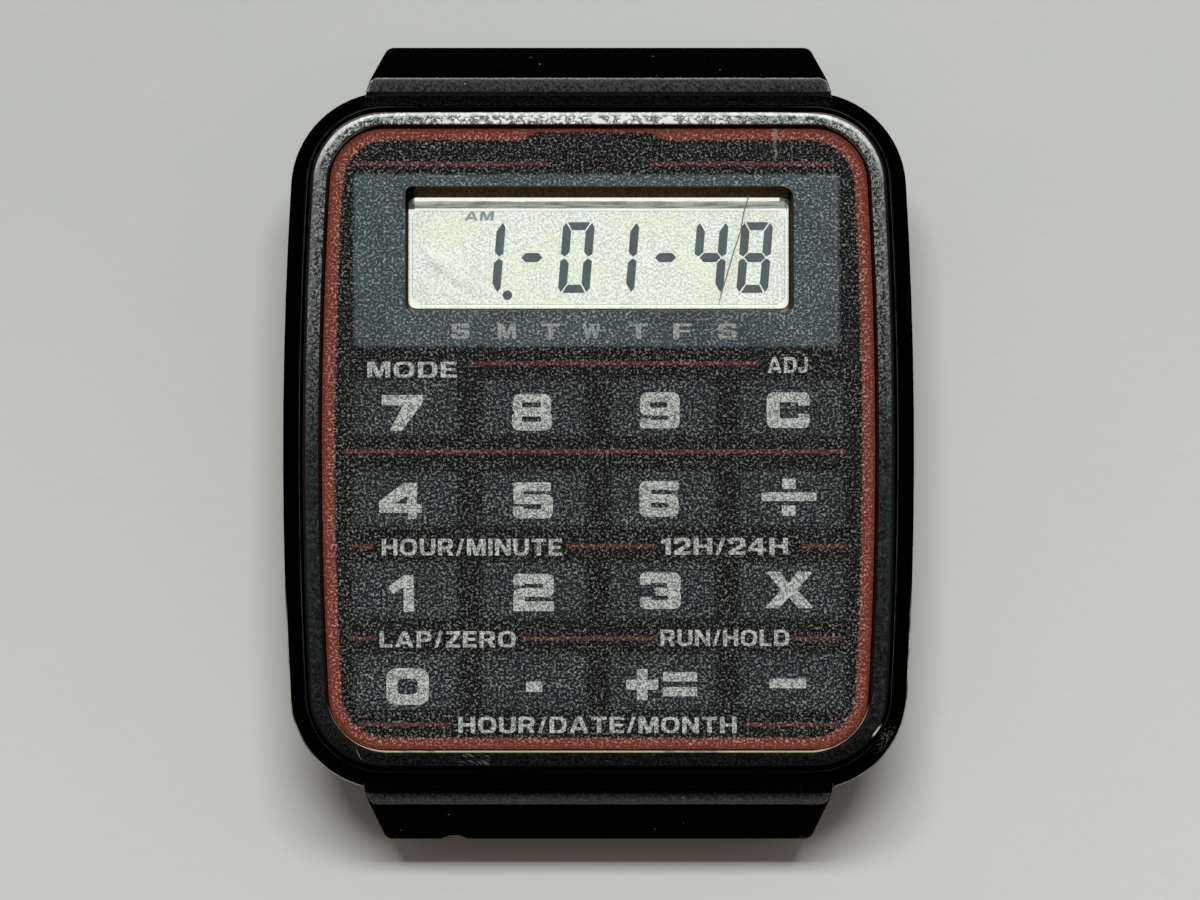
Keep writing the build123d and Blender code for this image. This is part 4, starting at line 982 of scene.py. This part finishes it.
figures = {
    "key_7": (
        (-0.17, -0.30),
        [[(-1.14, 0.98, soft), (1.14, 0.98, soft), (1.1, 0.55, bend), (-0.04, -0.97, soft),
          (-0.72, -0.97, soft), (0.04, 0.42, soft), (-1.14, 0.42, soft)]],
    ),
    "key_8": (
        (-0.12, -0.25),
        [[(-1.03, 1.0, 0.46), (1.03, 1.0, 0.46), (1.05, 0.06, 0.3), (0.9, -0.03, 0.04),
          (1.09, -0.14, 0.3), (1.08, -1.0, 0.46), (-1.08, -1.0, 0.46), (-1.09, -0.14, 0.3),
          (-0.9, -0.03, 0.04), (-1.05, 0.06, 0.3)],
         [(-0.55, 0.26, soft), (0.49, 0.26, soft), (0.49, 0.54, soft), (-0.55, 0.54, soft)],
         [(-0.55, -0.52, soft), (0.49, -0.52, soft), (0.49, -0.23, soft), (-0.55, -0.23, soft)]],
    ),
    "key_9": (
        (-0.17, -0.15),
        [[(-1.08, 0.98, bend), (1.08, 0.98, bend), (1.08, -0.98, bend), (-1.08, -0.98, bend),
          (-1.08, -0.46, soft), (-0.5, -0.46, 0), (-0.5, -0.52, 0), (0.45, -0.52, soft),
          (0.45, -0.28, soft), (-1.08, -0.28, bend)],
         [(-0.53, 0.15, soft), (0.43, 0.15, soft), (0.43, 0.45, soft), (-0.53, 0.45, soft)]],
    ),
    "key_clear": (
        (-0.18, -0.14),
        [[(-1.17, 0.97, bend), (1.17, 0.97, bend), (1.17, 0.24, soft), (0.56, 0.24, 0.02),
          (0.56, 0.43, 0.02), (-0.46, 0.43, soft), (-0.46, -0.43, soft), (0.56, -0.43, 0.02),
          (0.56, -0.2, 0.02), (1.17, -0.2, soft), (1.17, -0.97, bend), (-1.17, -0.97, bend)]],
    ),
    "key_4": (
        (-0.27, -0.11),
        [[(0.18, 0.98, soft), (0.9, 0.98, soft), (0.9, -0.17, 0.02), (1.17, -0.17, soft),
          (1.17, -0.64, soft), (0.9, -0.64, 0.02), (0.9, -0.98, soft), (0.41, -0.98, soft),
          (0.41, -0.64, 0.02), (-1.17, -0.64, soft), (-1.17, -0.03, 0.12)],
         [(0.36, 0.28, 0.04), (-0.32, -0.15, 0.04), (0.36, -0.15, 0.04)]],
    ),
    "key_5": (
        (-0.06, -0.08),
        [[(-1.07, 0.98, soft), (0.97, 0.98, soft), (0.97, 0.5, soft), (-0.5, 0.5, 0.02),
          (-0.5, 0.33, 0.02), (1.08, 0.33, bend), (1.08, -0.98, bend), (-1.1, -0.98, bend),
          (-1.1, -0.34, soft), (-0.55, -0.34, 0.02), (-0.55, -0.47, 0.02), (0.46, -0.47, soft),
          (0.46, -0.2, soft), (-1.07, -0.2, soft)]],
    ),
    "key_6": (
        (-0.21, 0.0),
        [[(-1.07, 0.97, bend), (1.07, 0.97, bend), (1.07, 0.46, soft), (0.5, 0.46, 0), (0.5, 0.5, 0),
          (-0.42, 0.5, soft), (-0.42, 0.26, soft), (1.07, 0.26, bend), (1.07, -0.97, bend),
          (-1.07, -0.97, bend)],
         [(-0.46, -0.47, soft), (0.53, -0.47, soft), (0.53, -0.21, soft), (-0.46, -0.21, soft)]],
    ),
    "key_divide": (
        (-0.14, 0.10),
        [bar(0, 0.02, 1.49, 0.235), bar(0, 0.72, 0.37, 0.28), bar(-0.02, -0.74, 0.37, 0.28)],
    ),
    "key_1": (
        (-0.235, -0.18),
        [[(-0.71, 0.36, soft), (0.14, 0.99, soft), (0.69, 0.99, soft), (0.71, -0.99, soft),
          (0.13, -0.99, soft), (0.13, 0.32, 0.03), (-0.44, -0.03, soft)]],
    ),
    "key_2": (
        (-0.03, -0.12),
        [[(-1.1, 1.01, bend), (1.1, 1.01, bend), (1.1, -0.24, bend), (-0.47, -0.24, soft),
          (-0.47, -0.48, 0.02), (1.1, -0.48, soft), (1.1, -1.01, soft), (-1.1, -1.01, soft),
          (-1.1, 0.25, bend), (0.52, 0.25, soft), (0.52, 0.48, soft), (-0.5, 0.48, 0.02),
          (-0.5, 0.38, 0.02), (-1.1, 0.38, soft)]],
    ),
    "key_3": (
        (-0.14, -0.02),
        [[(-1.11, 0.99, bend), (1.11, 0.99, bend), (1.11, 0.08, 0.15), (1.03, -0.03, 0),
          (1.11, -0.14, 0.15), (1.11, -0.99, bend), (-1.11, -0.99, bend), (-1.11, -0.34, soft),
          (-0.5, -0.34, 0.02), (-0.5, -0.5, 0.02), (0.42, -0.5, soft), (0.42, -0.26, soft),
          (-0.26, -0.26, 0.02), (-0.26, 0.17, 0.02), (0.38, 0.17, soft), (0.38, 0.43, soft),
          (-0.5, 0.43, 0.02), (-0.5, 0.32, 0.02), (-1.11, 0.32, soft)]],
    ),
    "key_multiply": (
        (-0.13, 0.02),
        [[(-1.26, 0.99, soft), (-0.5, 0.99, soft), (-0.02, 0.36, soft), (0.45, 0.99, soft),
          (1.26, 0.99, soft), (0.42, 0.0, soft), (1.35, -0.99, soft), (0.5, -0.99, soft),
          (-0.02, -0.38, soft), (-0.55, -0.99, soft), (-1.35, -0.99, soft), (-0.44, 0.0, soft)]],
    ),
    "key_0": (
        (0.13, -0.25),
        [[(-1.16, 0.99, 0.62), (1.16, 0.99, 0.62), (1.16, -0.99, 0.62), (-1.16, -0.99, 0.62)],
         [(-0.55, 0.43, 0.32), (0.55, 0.43, 0.32), (0.55, -0.43, 0.32), (-0.55, -0.43, 0.32)]],
    ),
    "key_point": ((0.01, -0.26), [bar(0, 0, 0.44, 0.28)]),
    "key_plus_equals": (
        (-0.1, -0.13),
        [[(-1.9, 0.25, soft), (-1.32, 0.25, 0.02), (-1.32, 0.83, soft), (-0.74, 0.83, soft),
          (-0.74, 0.25, 0.02), (-0.16, 0.25, soft), (-0.16, -0.29, soft), (-0.74, -0.29, 0.02),
          (-0.74, -0.86, soft), (-1.32, -0.86, soft), (-1.32, -0.29, 0.02), (-1.9, -0.29, soft)],
         bar(1.03, 0.41, 0.92, 0.25), bar(1.03, -0.4, 0.92, 0.25)],
    ),
    "key_minus": ((-0.22, -0.08), [bar(0, 0, 1.0, 0.26)]),
}
for key, (offset, outlines) in figures.items():
    low, high = key_boxes[key]
    centre_x = (low.x + high.x) / 2 + offset[0]
    centre_y = (low.y + high.y) / 2 + offset[1]
    placed = []
    for outline in outlines:
        placed.append(rounded([(centre_x + x, centre_y + y, radius) for x, y, radius in outline]))
    mesh = plate(key, placed, film_top, ink_top)
    piece(key.replace("key_", "figure_"), mesh, white_ink, key)

# Plain words among the keys, and the weekdays' initials under the window.
# A box is (left, bottom, right, top)
legends = (
    ("legend_mode", "MODE", (-12.59, 3.3, -7.7, 4.16)),
    ("legend_adjust", "ADJ", (9.2, 3.55, 11.4, 4.41)),
    ("legend_hour_minute", "HOUR/MINUTE", (-11.78, -6.39, -1.99, -5.48)),
    ("legend_12_24", "12H/24H", (3.4, -6.34, 10.3, -5.43)),
    ("legend_lap_zero", "LAP/ZERO", (-11.89, -11.38, -4.49, -10.5)),
    ("legend_run_hold", "RUN/HOLD", (3.35, -11.3, 10.36, -10.42)),
    ("legend_hour_date", "HOUR/DATE/MONTH", (-7.6, -16.02, 7.5, -15.14)),
)
for name, words, box in legends:
    mesh = plate(name, letter_outlines(words, box), film_top, ink_top)
    piece(name, mesh, white_ink)

weekday_places = (-7.51, -5.0, -2.61, -0.38, 2.18, 4.57, 7.02)
weekday_half_width = 0.5
weekday_low = 5.42
weekday_high = 6.24
for i, (place, initial) in enumerate(zip(weekday_places, "SMTWTFS")):
    box = (place - weekday_half_width, weekday_low, place + weekday_half_width, weekday_high)
    mesh = plate("weekday", letter_outlines(initial, box), film_top, ink_top)
    piece(f"weekday_{i}", mesh, grey_ink)

# Fine marks: short slivers scattered over the upward faces of a surface
mark_rings = 6
mark_sides = 8
mark_radius = 0.5
smallest_mark = 0.35
least_upward = 0.5
mark_inputs = (
    ("Surface", "NodeSocketGeometry"),
    ("Finish", "NodeSocketMaterial"),
    ("Density", "NodeSocketFloat"),
    ("Lowest", "NodeSocketFloat"),
    ("Highest", "NodeSocketFloat"),
    ("Nearest", "NodeSocketFloat"),
    ("Length", "NodeSocketFloat"),
    ("Width", "NodeSocketFloat"),
    ("Depth", "NodeSocketFloat"),
    ("Lean", "NodeSocketFloat"),
    ("Spread", "NodeSocketFloat"),
    ("Seed", "NodeSocketInt"),
)


def marks_tree():
    """The tree that scatters fine marks between two levels, each at its own slant and size."""
    tree = bpy.data.node_groups.new("fine_marks", "GeometryNodeTree")
    for name, kind in mark_inputs:
        tree.interface.new_socket(name, in_out="INPUT", socket_type=kind)
    tree.interface.new_socket("Marks", in_out="OUTPUT", socket_type="NodeSocketGeometry")
    nodes_in = tree.nodes.new("NodeGroupInput").outputs
    result = tree.nodes.new("NodeGroupOutput").inputs["Marks"]

    def add(kind, **settings):
        made = tree.nodes.new(kind)
        for name, value in settings.items():
            setattr(made, name, value)
        return made

    def join(first, second):
        tree.links.new(first, second)

    def compare(value, operation, limit):
        made = add("FunctionNodeCompare", data_type="FLOAT", operation=operation)
        join(value, made.inputs["A"])
        join(limit, made.inputs["B"])
        return made.outputs["Result"]

    def both(first, second):
        made = add("FunctionNodeBooleanMath", operation="AND")
        join(first, made.inputs[0])
        join(second, made.inputs[1])
        return made.outputs[0]

    # Marks lie on the faces that look up, between two levels and far enough from the middle
    places = add("ShaderNodeSeparateXYZ")
    join(add("GeometryNodeInputPosition").outputs[0], places.inputs[0])
    slopes = add("ShaderNodeSeparateXYZ")
    join(add("GeometryNodeInputNormal").outputs[0], slopes.inputs[0])
    outwards = add("ShaderNodeMath", operation="ABSOLUTE")
    join(places.outputs["Y"], outwards.inputs[0])
    upward = add("FunctionNodeCompare", data_type="FLOAT", operation="GREATER_THAN")
    upward.inputs["B"].default_value = least_upward
    join(slopes.outputs["Z"], upward.inputs["A"])
    above = compare(places.outputs["Z"], "GREATER_THAN", nodes_in["Lowest"])
    below = compare(places.outputs["Z"], "LESS_THAN", nodes_in["Highest"])
    far = compare(outwards.outputs[0], "GREATER_THAN", nodes_in["Nearest"])
    chosen = both(both(above, below), both(far, upward.outputs["Result"]))
    points = add("GeometryNodeDistributePointsOnFaces")
    join(nodes_in["Surface"], points.inputs["Mesh"])
    join(chosen, points.inputs["Selection"])
    join(nodes_in["Density"], points.inputs["Density"])
    join(nodes_in["Seed"], points.inputs["Seed"])

    # One round sliver, and its three sizes
    sliver = add("GeometryNodeMeshUVSphere")
    sliver.inputs["Segments"].default_value = mark_sides
    sliver.inputs["Rings"].default_value = mark_rings
    sliver.inputs["Radius"].default_value = mark_radius
    sizes = add("ShaderNodeCombineXYZ")
    join(nodes_in["Length"], sizes.inputs["X"])
    join(nodes_in["Width"], sizes.inputs["Y"])
    join(nodes_in["Depth"], sizes.inputs["Z"])

    # Each mark has its own slant in the surface, and its own share of the sizes
    least = add("ShaderNodeMath", operation="SUBTRACT")
    most = add("ShaderNodeMath", operation="ADD")
    for end in (least, most):
        join(nodes_in["Lean"], end.inputs[0])
        join(nodes_in["Spread"], end.inputs[1])
    slant = add("FunctionNodeRandomValue", data_type="FLOAT")
    join(least.outputs[0], slant.inputs[2])
    join(most.outputs[0], slant.inputs[3])
    join(nodes_in["Seed"], slant.inputs["Seed"])
    turn = add("FunctionNodeAxisAngleToRotation")
    turn.inputs["Axis"].default_value = (0, 0, 1)
    join(slant.outputs[1], turn.inputs["Angle"])
    turned = add("FunctionNodeRotateRotation", rotation_space="LOCAL")
    join(points.outputs["Rotation"], turned.inputs[0])
    join(turn.outputs[0], turned.inputs[1])
    growth = add("FunctionNodeRandomValue", data_type="FLOAT")
    growth.inputs[2].default_value = smallest_mark
    growth.inputs[3].default_value = 1.0
    grown = add("ShaderNodeVectorMath", operation="SCALE")
    join(sizes.outputs[0], grown.inputs[0])
    join(growth.outputs[1], grown.inputs["Scale"])

    # The marks, as one mesh
    placed = add("GeometryNodeInstanceOnPoints")
    join(points.outputs["Points"], placed.inputs["Points"])
    join(sliver.outputs["Mesh"], placed.inputs["Instance"])
    join(turned.outputs[0], placed.inputs["Rotation"])
    join(grown.outputs[0], placed.inputs["Scale"])
    realized = add("GeometryNodeRealizeInstances")
    join(placed.outputs[0], realized.inputs[0])
    coloured = add("GeometryNodeSetMaterial")
    join(realized.outputs[0], coloured.inputs["Geometry"])
    join(nodes_in["Finish"], coloured.inputs["Material"])
    join(coloured.outputs[0], result)
    return tree


marks = marks_tree()


def fine_marks(name, surface, finish, slot, **sizes):
    """Scatters fine marks over a surface, and shows them as one piece."""
    maker = bpy.data.objects.new(name, surface)
    bpy.context.scene.collection.objects.link(maker)
    scatter = maker.modifiers.new("fine_marks", "NODES")
    scatter.node_group = marks
    for item in marks.interface.items_tree:
        if item.in_out == "INPUT" and item.name == "Finish":
            scatter[item.identifier] = finish
        elif item.in_out == "INPUT" and item.name in sizes:
            scatter[item.identifier] = sizes[item.name]
    view = bpy.context.evaluated_depsgraph_get()
    mesh = bpy.data.meshes.new_from_object(maker.evaluated_get(view))
    bpy.data.objects.remove(maker)
    piece(name, mesh, finish)


ribbon_tip = 0.3


def ribbon(points, half_width):
    """The outline of a hairline along a few points, narrower at its far end."""
    left, right = [], []
    for i, (x, y) in enumerate(points):
        before = Vector(points[max(i - 1, 0)])
        after = Vector(points[min(i + 1, len(points) - 1)])
        along = (after - before).normalized()
        wide = half_width if i < len(points) - 1 else half_width * ribbon_tip
        left.append((x - along.y * wide, y + along.x * wide))
        right.append((x + along.y * wide, y - along.x * wide))
    return left + right[::-1]


scratch_finish = plain("pale_scratch", tone(150, 154, 154), tone(186, 190, 188), 0.2, 0.4)
dust_finish = plain("pale_dust", tone(76, 78, 74), tone(138, 138, 132), 0.1, 0.7)
haze_finish = plain("crystal_scratch", tone(232, 242, 232), tone(250, 255, 248), 0.2, 0.3)
crack_finish = plain("hairline_crack", tone(58, 58, 46), tone(104, 102, 84), 0.3, 0.5)

# Levels and sizes are in metres here, because the slivers lie on carried meshes
fine_marks(
    "bezel_scratches", nodes["bezel_ring"].data.copy(), scratch_finish, "bezel_black",
    Density=260000.0, Lowest=0.00874, Highest=0.00897, Nearest=0.0,
    Length=0.0009, Width=0.00003, Depth=0.000004, Lean=-0.6, Spread=0.7, Seed=5,
)
fine_marks(
    "lug_dust", nodes["case_body"].data.copy(), dust_finish, "case_black",
    Density=90000.0, Lowest=0.0022, Highest=0.0078, Nearest=0.0186,
    Length=0.00012, Width=0.0001, Depth=0.00003, Lean=0.0, Spread=3.1, Seed=4,
)

# The crystal's fine scratches lie on this patch of its face, and a crack runs down near its right end
wear_level = crystal_high.z + 0.001
wear_left = -9.7
wear_right = -6.4
wear_low = 8.0
wear_high = 10.2
wear_corners = rectangle(wear_left, wear_low, wear_right, wear_high)
crystal_face = bpy.data.meshes.new("crystal_face")
crystal_face.from_pydata([(x * MM, y * MM, wear_level * MM) for x, y in wear_corners], [], [(0, 1, 2, 3)])
fine_marks(
    "crystal_scratches", crystal_face, haze_finish, "crystal",
    Density=4200000.0, Lowest=0.0, Highest=0.01, Nearest=0.0,
    Length=0.0022, Width=0.00003, Depth=0.000003, Lean=-0.62, Spread=0.12, Seed=11,
)
crack_points = (
    (8.2, 13.25), (7.92, 12.3), (7.75, 11.3), (7.35, 10.1), (6.95, 8.7), (6.72, 8.0), (6.55, 7.3),
)
crack_half_width = 0.034
crack_thickness = 0.004
crack = plate(
    "crack", [ribbon(crack_points, crack_half_width)], wear_level, wear_level + crack_thickness
)
piece("crystal_crack", crack, crack_finish)

# The floor, the light and the camera, in metres
floor_half = 1.5
floor_level = -0.00002
floor = bpy.data.meshes.new("floor")
floor_corners = rectangle(-floor_half, -floor_half, floor_half, floor_half)
floor.from_pydata([(x, y, floor_level) for x, y in floor_corners], [], [(0, 1, 2, 3)])
paper = Finish("paper", specular=0.2)
mottled = paper.blend(paper.noise(6, detail=3), tone(184, 188, 185), tone(191, 192, 188))
# The paper is painted darker towards the left, painted shade, and paler towards six o'clock, painted
# light
mottled = paper.blend(paper.ramp(paper.x, -30, 10, 0.1, 0), mottled, tone(120, 124, 124))
paper.set("Base Color", paper.blend(paper.ramp(paper.y, 30, -34, 0, 0.3), mottled, tone(236, 236, 230)))
paper.set("Roughness", 0.8)
paper.bump(paper.noise(0.8, detail=3), 0.02)
floor.materials.append(paper.material)
floor_object = bpy.data.objects.new("floor", floor)
bpy.context.scene.collection.objects.link(floor_object)

world = bpy.data.worlds.new("studio")
world.use_nodes = True
bpy.context.scene.world = world
sky = world.node_tree
surroundings = sky.nodes["Background"]


def sky_step(socket, start, end, low, high):
    """A smooth step in the sky's brightness."""
    step = sky.nodes.new("ShaderNodeMapRange")
    step.interpolation_type = "SMOOTHSTEP"
    sky.links.new(socket, step.inputs["Value"])
    for name, number in (("From Min", start), ("From Max", end), ("To Min", low), ("To Max", high)):
        step.inputs[name].default_value = number
    return step.outputs["Result"]


def sky_math(operation, first, second):
    """A sum or product of the sky's brightnesses."""
    made = sky.nodes.new("ShaderNodeMath")
    made.operation = operation
    for socket, value in zip(made.inputs, (first, second)):
        if isinstance(value, bpy.types.NodeSocket):
            sky.links.new(value, socket)
        else:
            socket.default_value = value
    return made.outputs[0]


# Brighter towards twelve o'clock, dark overhead, and pale where the camera sees the sky itself
sky_dim_side = 0.2
sky_bright_side = 0.55
sky_overhead = 0.12
sky_seen = 0.55
direction = sky.nodes.new("ShaderNodeTexCoord")
heading = sky.nodes.new("ShaderNodeSeparateXYZ")
sky.links.new(direction.outputs["Generated"], heading.inputs[0])
forward = sky_step(heading.outputs["Y"], -0.7, 0.7, sky_dim_side, sky_bright_side)
overhead = sky_step(heading.outputs["Z"], 0.6, 0.97, 1.0, sky_overhead)
path = sky.nodes.new("ShaderNodeLightPath")
seen = sky_math("MULTIPLY", path.outputs["Is Camera Ray"], sky_seen)
unseen = sky_math("SUBTRACT", 1.0, path.outputs["Is Camera Ray"])
studio_light = sky_math("MULTIPLY", sky_math("MULTIPLY", forward, overhead), unseen)
sky.links.new(sky_math("ADD", studio_light, seen), surroundings.inputs["Strength"])
# The dim side is a little warmer
tint = sky.nodes.new("ShaderNodeMix")
tint.data_type = "RGBA"
sky.links.new(sky_step(heading.outputs["Y"], -0.5, 0.4, 0, 1), tint.inputs[0])
tint.inputs[mix_first].default_value = (1.0, 0.77, 0.57, 1)
tint.inputs[mix_second].default_value = (0.985, 1.0, 0.985, 1)
sky.links.new(tint.outputs[mix_result], surroundings.inputs["Color"])


def soft_light(name, elevation, distance, width, height, power, mirrored_only=False):
    """A soft box that faces the watch from beyond twelve o'clock, at an elevation in degrees."""
    lamp = bpy.data.lights.new(name, "AREA")
    lamp.shape = "RECTANGLE"
    lamp.size = width
    lamp.size_y = height
    lamp.energy = power
    holder = bpy.data.objects.new(name, lamp)
    bpy.context.scene.collection.objects.link(holder)
    away = Vector((0, cos(radians(elevation)), sin(radians(elevation))))
    holder.location = away * distance
    holder.rotation_euler = away.to_track_quat("Z", "Y").to_euler()
    holder.visible_diffuse = not mirrored_only


soft_light("key_light", elevation=56.8, distance=1.2, width=0.84, height=0.14, power=14.6)
soft_light(
    "reflection_card", elevation=39, distance=0.6, width=0.9, height=0.16, power=1.45, mirrored_only=True
)

# The camera's target, on the watch's face, and its distance are in millimetres
camera_target = Vector((0.08, -0.65, 8.65))
camera_distance = 200.0
camera_tilt = radians(1.8)
focal_pixels = 3676
picture_width = 1200
sensor_width = 36.0
lens = bpy.data.cameras.new("photo_view")
lens.sensor_width = sensor_width
lens.lens = focal_pixels / picture_width * sensor_width
lens.clip_start = 0.01
camera = bpy.data.objects.new("photo_view", lens)
bpy.context.scene.collection.objects.link(camera)
back = Vector((0, -sin(camera_tilt), cos(camera_tilt)))
camera.location = (camera_target + back * camera_distance) * MM
camera.rotation_euler = (camera_tilt, 0, 0)
bpy.context.scene.camera = camera
bpy.context.scene.view_settings.view_transform = "Standard"
